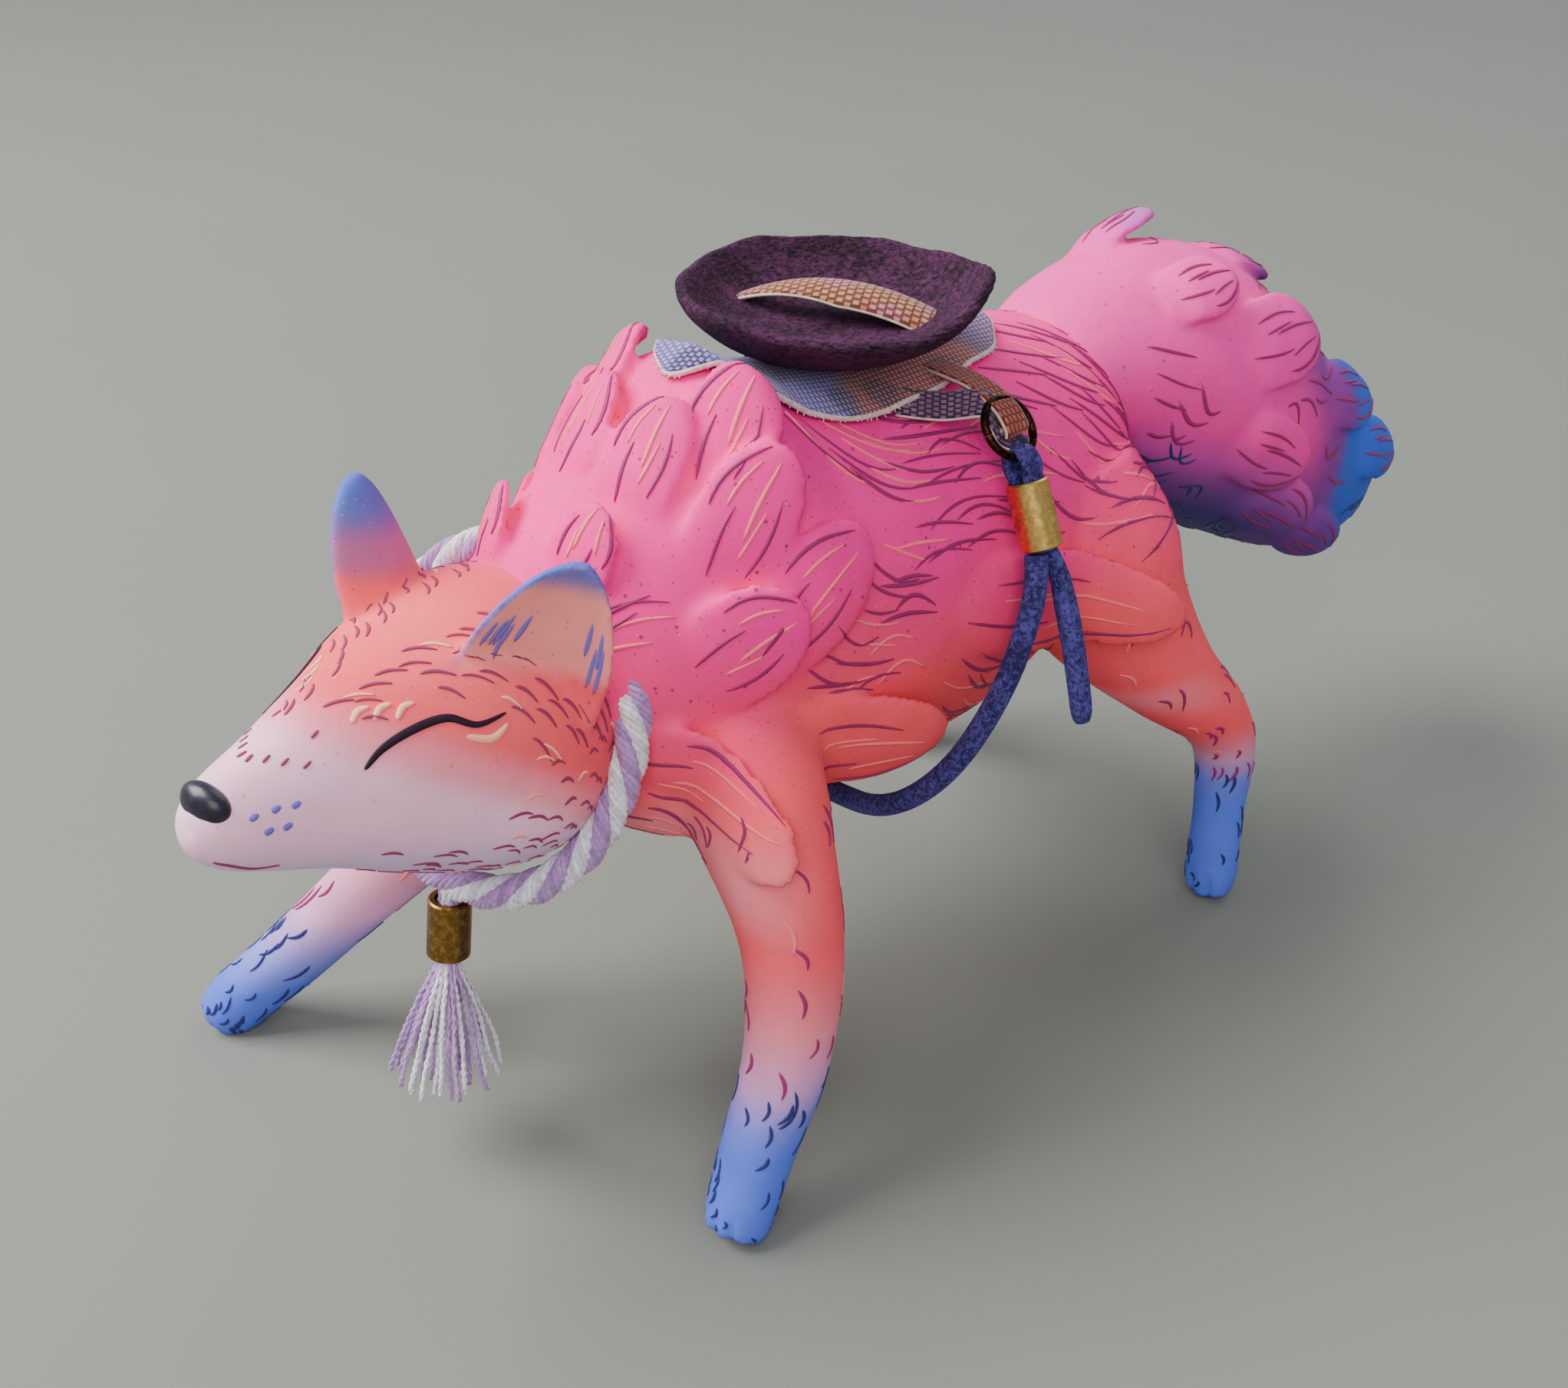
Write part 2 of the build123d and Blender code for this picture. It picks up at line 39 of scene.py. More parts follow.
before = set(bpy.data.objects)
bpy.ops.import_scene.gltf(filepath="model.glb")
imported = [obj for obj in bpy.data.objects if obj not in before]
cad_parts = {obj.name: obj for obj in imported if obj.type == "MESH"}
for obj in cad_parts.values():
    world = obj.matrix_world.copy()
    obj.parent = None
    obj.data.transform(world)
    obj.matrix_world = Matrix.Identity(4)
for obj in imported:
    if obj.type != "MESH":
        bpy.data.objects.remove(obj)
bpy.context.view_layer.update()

# Everything below is worked out in millimetres, with the fox's soles on z = 0,
# +X towards its nose and +Y to its left. FOOTPRINT moves it to the frame's origin.
FOOTPRINT = np.array((-6.59, -4.05, 0.0))
MM = 0.001
RNG_SEED = 7
SOLE = 0.9              # clay lower than this is pressed flat
STEP_OF_TURN = 2.39996  # radians from one yarn of the tassel to the next, which fills a disc evenly

# Stations of the clay: x, y, z, half width, half height.
TORSO = np.array([(-46, 0, 62, 4, 5), (-44.5, 0, 61.7, 9, 10), (-40, 0, 60.8, 14.6, 16.2),
                  (-32, 0, 58.8, 19.2, 21.2), (-14, 0, 56.4, 21.6, 25.2), (2, 0, 56.5, 22, 25.4),
                  (13, 0, 58.0, 21.6, 25.8), (22, 0, 60.4, 20.6, 28.4), (32, 0, 59.5, 17.8, 22.8),
                  (41, -1.5, 57, 15.2, 17.8), (48, -3.5, 53.5, 13.2, 15.0)], float)
# Stations of the head: x along the muzzle, z, half width, half height.
HEAD = np.array([(-6, 1, 13.6, 15.2), (-1, 1, 15.6, 16.2), (4, 1.1, 16.4, 16.3), (10, 0.9, 15.6, 15.2),
                 (18, 0.3, 12.6, 12.7), (26, -0.6, 8.9, 9.5), (33, -1.6, 6.2, 7.0),
                 (38, -2.1, 4.5, 5.2), (41, -2.3, 2.9, 3.4), (42.3, -2.3, 1.2, 1.5)], float)
# Stations of the round limbs: x, y, z, radius.
LIMBS = {
    "front_left": np.array([(26, 9, 56, 8), (28.5, 14, 50.5, 7.8), (30.5, 20.5, 42.5, 7.2),
                            (32, 26.3, 29.5, 5.8), (35.5, 29, 18, 5.0), (41.5, 30.5, 8.5, 4.3),
                            (45.6, 31.8, 2.6, 3.9), (46.8, 32.1, 0.6, 3.3)], float),
    "front_right": np.array([(33, -11, 50, 9), (38, -14.5, 42, 7.6), (45, -19, 33, 6.0),
                             (54, -26.5, 21, 4.7), (62, -34, 10, 4.3), (67.8, -39.2, 3, 4.0),
                             (69.4, -40.4, 0.6, 3.4)], float),
    "hind_left": np.array([(-29, 10, 60, 12), (-31, 15.5, 52, 12.2), (-33, 20, 44.5, 9.8),
                           (-38, 25, 36, 6.8), (-44.5, 28.6, 28.5, 4.9), (-47.3, 29.8, 22, 4.2),
                           (-46, 31, 13, 3.5), (-45, 31.8, 4, 3.6), (-44.8, 32, 0.7, 3.0)], float),
    "hind_right": np.array([(-29, -10, 60, 12), (-30.5, -14.5, 52, 12), (-32, -18.5, 44, 9.6),
                            (-36, -22, 36, 6.8), (-42.5, -24.5, 28.5, 4.9), (-45.2, -25, 22, 4.2),
                            (-43.2, -25.8, 13, 3.5), (-42, -26, 4, 3.6), (-41.8, -26, 0.7, 3.0)], float),
}
TAIL = np.array([(-34, 0, 65, 8.6), (-44, 1, 69.6, 13.2), (-56, 3, 67.5, 17.4), (-68, 5.6, 60, 17.2),
                 (-79, 8, 52, 15.2), (-88, 9.4, 45.8, 13.0), (-96, 10, 42, 9.4),
                 (-100.5, 10, 40, 3.5)], float)

# The head's pose: where neck and head meet, and its turn, lift and tilt in radians.
HEAD_AT = np.array((48, -3.5, 53.0))
HEAD_TURN, HEAD_LIFT, HEAD_TILT = (math.radians(angle) for angle in (13, 16, -6))

# Front and back of each ear's base and its tip, in the head's axes: 1 is the left ear, -1 the right.
EAR_CORNERS = {1: ((15.4, 4.9, 12.4), (4.2, 15.4, 6.8), (11.2, 15.2, 24.8)),
               -1: ((17.0, -7.4, 10.6), (1.6, -10.6, 10.4), (12.8, -14.2, 24.2))}

# An ear's petal starts this share of its height under its base, and is this many heights long.
EAR_ROOT, EAR_REACH = 0.2, 1.22

# Leaf tufts: root, tip, width, lift of the tip.
COAT_TUFTS = [
    ((31, 11, 78), (20, 8.6, 88.5), 11.5, 2.6), ((37.5, 5.5, 77), (28, 4.8, 86.5), 10, 2.4),
    ((34, 15.5, 70), (22.5, 14.5, 82), 11.5, 2.6), ((31, 18, 61), (15, 20.8, 73.5), 12.5, 1.0),
    ((37, 14, 60), (25.5, 20.5, 67.5), 13.0, 2.8), ((43, 11, 51.5), (32.5, 20.0, 49), 12.5, 3.0),
    ((43.5, 8.5, 43), (35, 14.5, 40.5), 11.0, 2.6), ((29, 23, 47.5), (4.5, 25.5, 43.5), 14.5, 3.4),
    ((4, 21.6, 59), (-31, 25.4, 50), 13.5, 2.6),
]
MIDLINE_TUFTS = [
    ((44, 4, 70), (38.5, 5.5, 77), 8.8, 2.4), ((45.5, -9, 68.5), (40, -8.5, 76), 8.8, 2.4),
    ((2, 9, 33), (-9, 11, 31.3), 8.0, 1.6), ((-14, 8, 33), (-26, 12, 34), 8.0, 1.6),
]
TAIL_TUFTS = [
    ((-50, -4, 84), (-63, -2.5, 85), 9.5, 2.6), ((-48, 11, 80), (-58, 14, 81.5), 9.5, 1.6),
    ((-55, 18, 73), (-71.5, 18, 73), 12.5, 2.2), ((-54, 20, 63), (-68, 22, 56), 11, 1.2),
    ((-60, 18.5, 54), (-73, 21, 46), 11, 1.6), ((-74, 16, 60), (-88, 17, 57), 10.5, 1.4),
    ((-84, 18, 51), (-96, 19, 48.5), 9.5, 1.4), ((-74, 18, 45), (-84, 20, 37), 10, 1.2),
    ((-50, -15, 72), (-68, -12, 70), 12, 1.8), ((-60, -14, 58), (-78, -10, 52), 12, 1.8),
    ((-62, 4, 78), (-78, 5, 73), 11, 1.4), ((-66, -4, 45), (-82, -1, 35), 11, 1.4),
]


# The lace hangs from the left ring 22 degrees off the vertical: down along it and out from the flank.
FORWARD = np.array((1.0, 0, 0))
LACE_DOWN, LACE_OUT = (np.array((0, out, up)) for out, up in (
    (math.sin(math.radians(22)), -math.cos(math.radians(22))),
    (math.cos(math.radians(22)), math.sin(math.radians(22)))))


# ---------------------------------------------------------------- small helpers

def linear(color):
    """sRGB values as the linear values a shader takes."""
    color = np.asarray(color, float)
    return np.where(color <= 0.04045, color / 12.92, ((color + 0.055) / 1.055) ** 2.4)


def smooth(low, high, value):
    """0 below low, 1 above high, with a cubic ease between them."""
    share = np.clip((value - low) / (high - low), 0, 1)
    return share * share * (3 - 2 * share)


def mixed(first, second, share):
    """Each row of first turned towards second by its share."""
    return first + (np.asarray(second) - first) * np.asarray(share)[..., None]


def round_angles(columns):
    """Angles of points spaced evenly round a section."""
    return np.linspace(0, 2 * math.pi, columns, endpoint=False)


def unit(vectors):
    """Vectors scaled to length one."""
    return vectors / np.maximum(np.linalg.norm(vectors, axis=-1, keepdims=True), 1e-9)


def along(stations, where):
    """Catmull-Rom curve through the stations: where is 0 at the first and n - 1 at the last."""
    where = np.clip(np.asarray(where, float), 0, len(stations) - 1 - 1e-9)
    index = np.floor(where).astype(int)
    t = (where - index)[..., None]
    last = len(stations) - 1
    a = stations[np.clip(index - 1, 0, last)]
    b = stations[index]
    c = stations[np.clip(index + 1, 0, last)]
    d = stations[np.clip(index + 2, 0, last)]
    return b + 0.5 * t * (c - a + t * (2 * a - 5 * b + 4 * c - d + t * (3 * (b - c) + d - a)))


def head_axes():
    """The head's own axes as rows: muzzle, left, crown."""
    turn, lift, tilt = HEAD_TURN, HEAD_LIFT, HEAD_TILT
    muzzle = np.array((math.cos(turn) * math.cos(lift), math.sin(turn) * math.cos(lift), math.sin(lift)))
    level = np.array((-math.sin(turn), math.cos(turn), 0))
    crown = np.cross(muzzle, level)
    crown = crown * math.cos(tilt) - level * math.sin(tilt)
    return np.array((muzzle, np.cross(crown, muzzle), crown))


HEAD_AXES = head_axes()


def in_head(points):
    """Points given in the head's axes, moved to the fox's."""
    return HEAD_AT + np.asarray(points, float) @ HEAD_AXES


def to_head(points):
    """Points of the fox given in the head's axes."""
    return (points - HEAD_AT) @ HEAD_AXES.T


# ---------------------------------------------------------------- surfaces and meshes

def torso_surface(u, angle):
    """Ellipse at station u: centre + side * half width * cos + up * half height * sin."""
    row = along(TORSO, u)
    spread = np.cos(angle) * row[..., 3]
    rise = np.sin(angle) * row[..., 4]
    return np.stack((row[..., 0] + 0 * spread, row[..., 1] + spread, row[..., 2] + rise), -1)


def head_surface(u, angle):
    """Ellipse at station u in the head's axes, its cheeks filled out and its bridge narrowed."""
    row = along(HEAD, u)
    side, up = np.cos(angle), np.sin(angle)
    muzzle = smooth(12, 30, row[..., 0])
    narrow = 1 - 0.16 * muzzle * np.clip(up, 0, 1) ** 2
    cheek = 1 + 0.05 * np.exp(-((row[..., 0] - 7) / 7) ** 2) * np.exp(-((up + 0.35) / 0.5) ** 2)
    local = np.stack((row[..., 0] + 0 * side, side * row[..., 2] * narrow * cheek,
                      row[..., 1] + up * row[..., 3]), -1)
    return in_head(local)


def limb_frame(stations, u):
    """Centre, radius, side and up of a limb at station u; side is square to the run and to Y."""
    row = along(stations, u)
    run = unit((along(stations, np.asarray(u) + 0.05) - along(stations, np.asarray(u) - 0.05))[..., :3])
    side = unit(np.cross(run, np.array((0, 1, 0.2))))
    return row[..., :3], row[..., 3], side, np.cross(side, run)


def limb_surface(stations, u, angle):
    """Circle at station u: centre + radius * (side * cos + up * sin)."""
    centre, radius, side, up = limb_frame(stations, u)
    return centre + radius[..., None] * (side * np.cos(angle)[..., None] + up * np.sin(angle)[..., None])


def surface_grid(surface, last, rows, columns):
    """A closed tube's grid of points: rows along its stations, columns round it."""
    u = np.linspace(0, last, rows)[:, None] + np.zeros(columns)
    angle = round_angles(columns) + np.zeros((rows, 1))
    return surface(u, angle)


def inside(points, solids):
    """Whether points lie in the torso's ellipses or in a limb's balls, for the given stations."""
    held = np.zeros(points.shape[:-1], bool)
    for solid in solids:
        if solid is TORSO:
            row = [np.interp(points[..., 0], TORSO[:, 0], TORSO[:, i]) for i in range(1, 5)]
            away = ((points[..., 1] - row[0]) / row[2]) ** 2 + ((points[..., 2] - row[1]) / row[3]) ** 2
            held |= (away < 1) & (points[..., 0] > TORSO[0, 0]) & (points[..., 0] < TORSO[-1, 0] + 4)
        else:
            for row in along(solid, np.linspace(0, len(solid) - 1, 60)):
                held |= ((points - row[:3]) ** 2).sum(-1) < row[3] ** 2
    return held


def skin_height(points, out, solids):
    """How far along out each point has to go to reach the skin of the solids under it."""
    steps = np.arange(-9, 12, 0.25)
    held = inside(points[..., None, :] + out * steps[:, None], solids)
    return np.where(held.any(-1), steps[held.shape[-1] - 1 - np.argmax(held[..., ::-1], axis=-1)], -3.0)


def eased(heights, passes=3):
    """A height grid smoothed along its rows and columns."""
    for _ in range(passes):
        wide = np.pad(heights, 1, mode="edge")
        heights = (wide[:-2, 1:-1] + wide[2:, 1:-1] + wide[1:-1, :-2] + wide[1:-1, 2:] + 2 * heights) / 6
    return heights


def tuft_shape(tuft, centre, solids, rows=28, columns=15):
    """A petal laid on the skin: its middle surface, half width, and the way it faces.

    At share s from root to tip, half width is width / 2 times 0.7 + 0.3 sin(pi s) up to the middle, and
    times (1 - ((s - 0.5) / 0.515)^2)^0.62 past it, so the tip is round. The sheet follows the skin, its
    root 1 mm under it and its tip lifted off it.
    """
    root, tip, width, lift = (np.asarray(value, float) for value in tuft)
    s = np.linspace(0, 1, rows)
    out = unit((root + tip) / 2 - centre)
    side = unit(np.cross(out, tip - root))
    half = width / 2 * np.where(s > 0.5, np.clip(1 - ((s - 0.5) / 0.515) ** 2, 0.004, 1) ** 0.62,
                                0.70 + 0.30 * np.sin(np.pi * s))
    across = np.linspace(-1, 1, columns)
    flat = (root + (tip - root) * s[:, None])[:, None] + side * (half[:, None] * across)[..., None]
    height = eased(skin_height(flat, out, solids))
    raise_tip = 0.75 + lift * 0.95 * smooth(0.15, 0.95, s) - 1.7 * smooth(0.34, 0.0, s)
    height = height + raise_tip[:, None] - 0.15 * across ** 2
    return flat + out * height[..., None], half, out


def tuft_grid(tuft, centre, solids, columns=36):
    """A petal's closed grid: its middle surface given up to 1 mm above and below, with a rounded edge.

    At an angle round the section, the place across is cos and the height off the sheet is |sin|^0.7.
    """
    sheet, half, out = tuft_shape(tuft, centre, solids)
    rows = len(sheet)
    angle = round_angles(columns)
    place = (np.cos(angle) + 1) / 2 * (sheet.shape[1] - 1)
    low = np.clip(np.floor(place).astype(int), 0, sheet.shape[1] - 2)
    share = (place - low)[None, :, None]
    middle = sheet[:, low] * (1 - share) + sheet[:, low + 1] * share
    thick = (1.25 * np.clip(half / half.max() * 1.5, 0.15, 1))[:, None]
    top = np.sign(np.sin(angle)) * np.abs(np.sin(angle)) ** 0.7
    depth = np.where(top > 0, thick * top * 0.75, thick * top * 0.8)
    return middle + out * depth.reshape(rows, columns, 1)


def grid_faces(rows, columns, first=0, kind="tube"):
    """Quads between each point of a grid, the next in its row, and the two beside them in the next row.

    In a tube the last column meets the first, and each end row is closed by one face. In a ring the
    last row meets the first as well. A sheet is open all round.
    """
    row = np.arange(rows if kind == "ring" else rows - 1)[:, None]
    column = np.arange(columns - 1 if kind == "sheet" else columns)
    ahead, after = (row + 1) % rows, (column + 1) % columns
    faces = (np.stack(np.broadcast_arrays(row * columns + column, row * columns + after,
                                          ahead * columns + after, ahead * columns + column), -1)
             .reshape(-1, 4) + first).tolist()
    if kind == "tube":
        faces.append((first + column[::-1]).tolist())
        faces.append((first + (rows - 1) * columns + column).tolist())
    return faces


def paint(piece, label, values):
    """Store a colour (n, 3) or a mask (n) on a piece's points."""
    if values.ndim == 2:
        layer = piece.data.attributes.new(label, "FLOAT_COLOR", "POINT")
        layer.data.foreach_set("color", np.insert(values, 3, 1.0, axis=1).ravel())
    else:
        layer = piece.data.attributes.new(label, "FLOAT", "POINT")
        layer.data.foreach_set("value", values.ravel())


def grids_object(name, grids, color=None, kind="tube"):
    """One mesh, shaded smooth, of many grids of millimetre points in the fox's axes.

    A colour for all points, or for each, is stored as the airbrush attribute.
    """
    points, faces = [], []
    for grid in grids:
        faces += grid_faces(*grid.shape[:2], sum(len(part) for part in points), kind)
        points.append(grid.reshape(-1, 3))
    points = np.concatenate(points)
    mesh = bpy.data.meshes.new(name)
    mesh.from_pydata(((points - FOOTPRINT) * MM).tolist(), [], faces)
    mesh.polygons.foreach_set("use_smooth", [True] * len(mesh.polygons))
    piece = bpy.data.objects.new(name, mesh)
    bpy.context.scene.collection.objects.link(piece)
    if color is not None:
        paint(piece, "airbrush", np.array(np.broadcast_to(color, points.shape)))
    if kind != "sheet":
        turn_outward(piece)
    return piece


def turn_outward(piece):
    """Recalculate a closed mesh's normals so that they point out."""
    work = bmesh.new()
    work.from_mesh(piece.data)
    bmesh.ops.recalc_face_normals(work, faces=work.faces)
    work.to_mesh(piece.data)
    work.free()


def settle(piece, **steps):
    """Apply modifiers in order: each is TYPE=settings, and the result becomes the mesh."""
    for kind, settings in steps.items():
        modifier = piece.modifiers.new(kind, kind)
        for key, value in settings.items():
            setattr(modifier, key, value)
    graph = bpy.context.evaluated_depsgraph_get()
    mesh = bpy.data.meshes.new_from_object(piece.evaluated_get(graph), depsgraph=graph)
    piece.modifiers.clear()
    piece.data = mesh
    mesh.polygons.foreach_set("use_smooth", [True] * len(mesh.polygons))
    return piece


def thicken(piece, thickness):
    """Give a sheet its thickness in millimetres, half to each side, and turn it outwards."""
    settle(piece, SOLIDIFY={"thickness": thickness * MM, "offset": 0.0, "use_rim": True})
    turn_outward(piece)


def mesh_points(piece):
    """A piece's points in millimetres in the fox's axes."""
    co = np.zeros(len(piece.data.vertices) * 3)
    piece.data.vertices.foreach_get("co", co)
    return co.reshape(-1, 3) / MM + FOOTPRINT


def mesh_normals(piece):
    """A piece's point normals."""
    values = np.zeros(len(piece.data.vertices) * 3)
    piece.data.vertex_normals.foreach_get("vector", values)
    return values.reshape(-1, 3)


def finish_piece(piece, material, body, slot, *nodes):
    """Give a piece its material and body, and hide the CAD nodes that it stands for. The slot is not used."""
    piece.data.materials.clear()
    piece.data.materials.append(material)
    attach(piece, body)
    if nodes:
        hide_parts(*nodes)
    return piece


def thread(path, radius, columns, ring=False):
    """A round tube's grid along a path: path + radius * (side * cos + up * sin).

    Side is square to the path and to a reference line that the path never runs along.
    """
    if ring:
        run, reference = ring_run(path), HEAD_AXES[0] + 0.2 * HEAD_AXES[2]
    else:
        run = unit(np.gradient(path, axis=0))
        reference = (0.13, 0.31, 0.94) if abs(run[:, 2]).mean() < 0.8 else (0.94, 0.31, 0.13)
    side = unit(np.cross(run, reference))
    up = np.cross(side, run)
    angle = round_angles(columns)
    return path[:, None] + radius * (side[:, None] * np.cos(angle)[:, None]
                                     + up[:, None] * np.sin(angle)[:, None])


def ring_run(path):
    """The direction of a path whose end meets its start, at each of its points."""
    return unit(np.roll(path, -1, 0) - np.roll(path, 1, 0))


# ---------------------------------------------------------------- shader node helpers

def node(tree, kind, inputs=None, **settings):
    """A node with its settings and input defaults; an input given as a socket is linked."""
    made = tree.nodes.new(kind)
    for key, value in settings.items():
        setattr(made, key, value)
    for key, value in (inputs or {}).items():
        if isinstance(value, bpy.types.NodeSocket):
            tree.links.new(value, made.inputs[key])
        else:
            made.inputs[key].default_value = value
    return made


def math_node(tree, operation, first, second=0.0, clamp=False):
    """A Math node's result."""
    return node(tree, "ShaderNodeMath", {0: first, 1: second}, operation=operation,
                use_clamp=clamp).outputs[0]


def object_place(tree):
    """A piece's own coordinates, which its pattern keeps to."""
    return node(tree, "ShaderNodeTexCoord").outputs["Object"]


def noise(tree, place, scale, detail, **more):
    """A Noise Texture's factor."""
    return node(tree, "ShaderNodeTexNoise",
                {"Vector": place, "Scale": scale, "Detail": detail, **more}).outputs[0]


def gray(tree, value):
    """A value as a colour, to darken or lighten another with."""
    return node(tree, "ShaderNodeCombineColor", {0: value, 1: value, 2: value}).outputs[0]


def airbrush(tree):
    """The colour that is stored on a piece's points."""
    return node(tree, "ShaderNodeAttribute", attribute_name="airbrush").outputs["Color"]


def ramp(tree, value, low, high, first=0.0, second=1.0):
    """A Map Range node's result, eased between low and high."""
    return node(tree, "ShaderNodeMapRange", {"Value": value, "From Min": low, "From Max": high,
                                             "To Min": first, "To Max": second},
                interpolation_type="SMOOTHSTEP").outputs["Result"]


def blend_color(tree, share, first, second, mode="MIX"):
    """A Mix node's colour."""
    made = node(tree, "ShaderNodeMix", data_type="RGBA", blend_type=mode)
    for index, value in ((0, share), (6, first), (7, second)):
        if isinstance(value, bpy.types.NodeSocket):
            tree.links.new(value, made.inputs[index])
        else:
            made.inputs[index].default_value = value if index == 0 else (*value, 1)[:4]
    return made.outputs[2]


def new_group(name, inputs, output):
    """A shader node group with named float inputs, their defaults, and one float output."""
    group = bpy.data.node_groups.new(name, "ShaderNodeTree")
    for label, default in inputs:
        socket = group.interface.new_socket(label, in_out="INPUT", socket_type="NodeSocketFloat")
        socket.default_value = default
    group.interface.new_socket(output, in_out="OUTPUT", socket_type="NodeSocketFloat")
    return group, group.nodes.new("NodeGroupInput"), group.nodes.new("NodeGroupOutput")


def place_group(tree, name, inputs=None):
    """The output of a shared group placed in a material's tree; the groups are built once."""
    if name not in bpy.data.node_groups:
        for build in (speckle_group, mottle_group, tooth_group):
            build()
    return node(tree, "ShaderNodeGroup", inputs, node_tree=bpy.data.node_groups[name]).outputs[0]


def speckle_group():
    """Fine dots thrown from a brush: one in each cell, kept where the cell's random value is under Amount."""
    group, start, end = new_group("Speckle", [("Size", 0.0011), ("Amount", 0.3)], "Mask")
    scale = math_node(group, "DIVIDE", 1.0, start.outputs["Size"])
    cells = node(group, "ShaderNodeTexVoronoi",
                 {"Vector": object_place(group), "Scale": scale, "Randomness": 1.0})
    dot = node(group, "ShaderNodeMapRange", {"Value": cells.outputs["Distance"], "From Min": 0.16,
                                             "From Max": 0.1, "To Min": 0.0, "To Max": 1.0}).outputs[0]
    chosen = node(group, "ShaderNodeSeparateColor", {"Color": cells.outputs["Color"]}).outputs[0]
    kept = math_node(group, "LESS_THAN", chosen, start.outputs["Amount"])
    group.links.new(math_node(group, "MULTIPLY", dot, kept), end.inputs["Mask"])


def mottle_group():
    """Uneven airbrush: soft clouds of light and dark, as a factor near one."""
    group, start, end = new_group("Mottle", [("Scale", 60.0), ("Depth", 0.1)], "Factor")
    clouds = noise(group, object_place(group), start.outputs["Scale"], 4.0, Roughness=0.6)
    swing = math_node(group, "MULTIPLY", math_node(group, "SUBTRACT", clouds, 0.5), start.outputs["Depth"])
    group.links.new(math_node(group, "ADD", math_node(group, "MULTIPLY", swing, 2.0), 1.0),
                    end.inputs["Factor"])


def tooth_group():
    """The clay's tooth: fine grain and a few finger-soft dents, as a height."""
    group, start, end = new_group("Tooth", [("Grain", 900.0), ("Dents", 140.0)], "Height")
    place = object_place(group)
    grain = noise(group, place, start.outputs["Grain"], 3.0)
    dents = noise(group, place, start.outputs["Dents"], 2.0)
    total = math_node(group, "ADD", math_node(group, "MULTIPLY", grain, 0.35),
                      math_node(group, "MULTIPLY", dents, 1.0))
    group.links.new(total, end.inputs["Height"])


def new_material(name, roughness=0.6, metallic=0.0, sheen=0.0, specular=0.5, coat=0.0):
    """A material with its Principled BSDF, and constants on the shader's own sockets."""
    material = bpy.data.materials.new(name)
    material.use_nodes = True
    shader = material.node_tree.nodes["Principled BSDF"]
    shader.inputs["Roughness"].default_value = roughness
    shader.inputs["Metallic"].default_value = metallic
    shader.inputs["Sheen Weight"].default_value = sheen
    shader.inputs["Specular IOR Level"].default_value = specular
    shader.inputs["Coat Weight"].default_value = coat
    return material, material.node_tree, shader


def bump(tree, shader, height, strength, distance):
    """A Bump node into the shader's Normal."""
    made = node(tree, "ShaderNodeBump", {"Height": height, "Strength": strength, "Distance": distance})
    tree.links.new(made.outputs[0], shader.inputs["Normal"])


def clay_material(name, dark, light):
    """Matte painted clay: the airbrush attribute, mottled, with dark and light speckles."""
    material, tree, shader = new_material(name, roughness=0.72, specular=0.26)
    mottle = place_group(tree, "Mottle", {"Scale": 130.0, "Depth": 0.16})
    color = blend_color(tree, 1.0, airbrush(tree), gray(tree, mottle), "MULTIPLY")
    fine = place_group(tree, "Speckle", {"Size": 0.0008, "Amount": dark * 1.3})
    drops = place_group(tree, "Speckle", {"Size": 0.0016, "Amount": dark * 0.55})
    mist = place_group(tree, "Speckle", {"Size": 0.0007, "Amount": light})
    patches = node(tree, "ShaderNodeAttribute", attribute_name="speckle").outputs["Fac"]
    dots = math_node(tree, "MULTIPLY", math_node(tree, "MAXIMUM", fine, drops), patches)
    color = blend_color(tree, math_node(tree, "MULTIPLY", mist, 0.30), color, (0.95, 0.62, 0.52))
    color = blend_color(tree, math_node(tree, "MULTIPLY", dots, 0.75), color, (0.16, 0.03, 0.09))
    tree.links.new(color, shader.inputs["Base Color"])
    bump(tree, shader, place_group(tree, "Tooth"), 0.35, 0.00012)
    return material


def flat_paint_material(name, color, roughness=0.5, vary=0.12):
    """Brush paint: one colour, streaked a little thinner and thicker."""
    material, tree, shader = new_material(name, roughness=roughness, specular=0.35)
    mottle = gray(tree, place_group(tree, "Mottle", {"Scale": 900.0, "Depth": vary}))
    tree.links.new(blend_color(tree, 1.0, tuple(linear(color)), mottle, "MULTIPLY"),
                   shader.inputs["Base Color"])
    return material


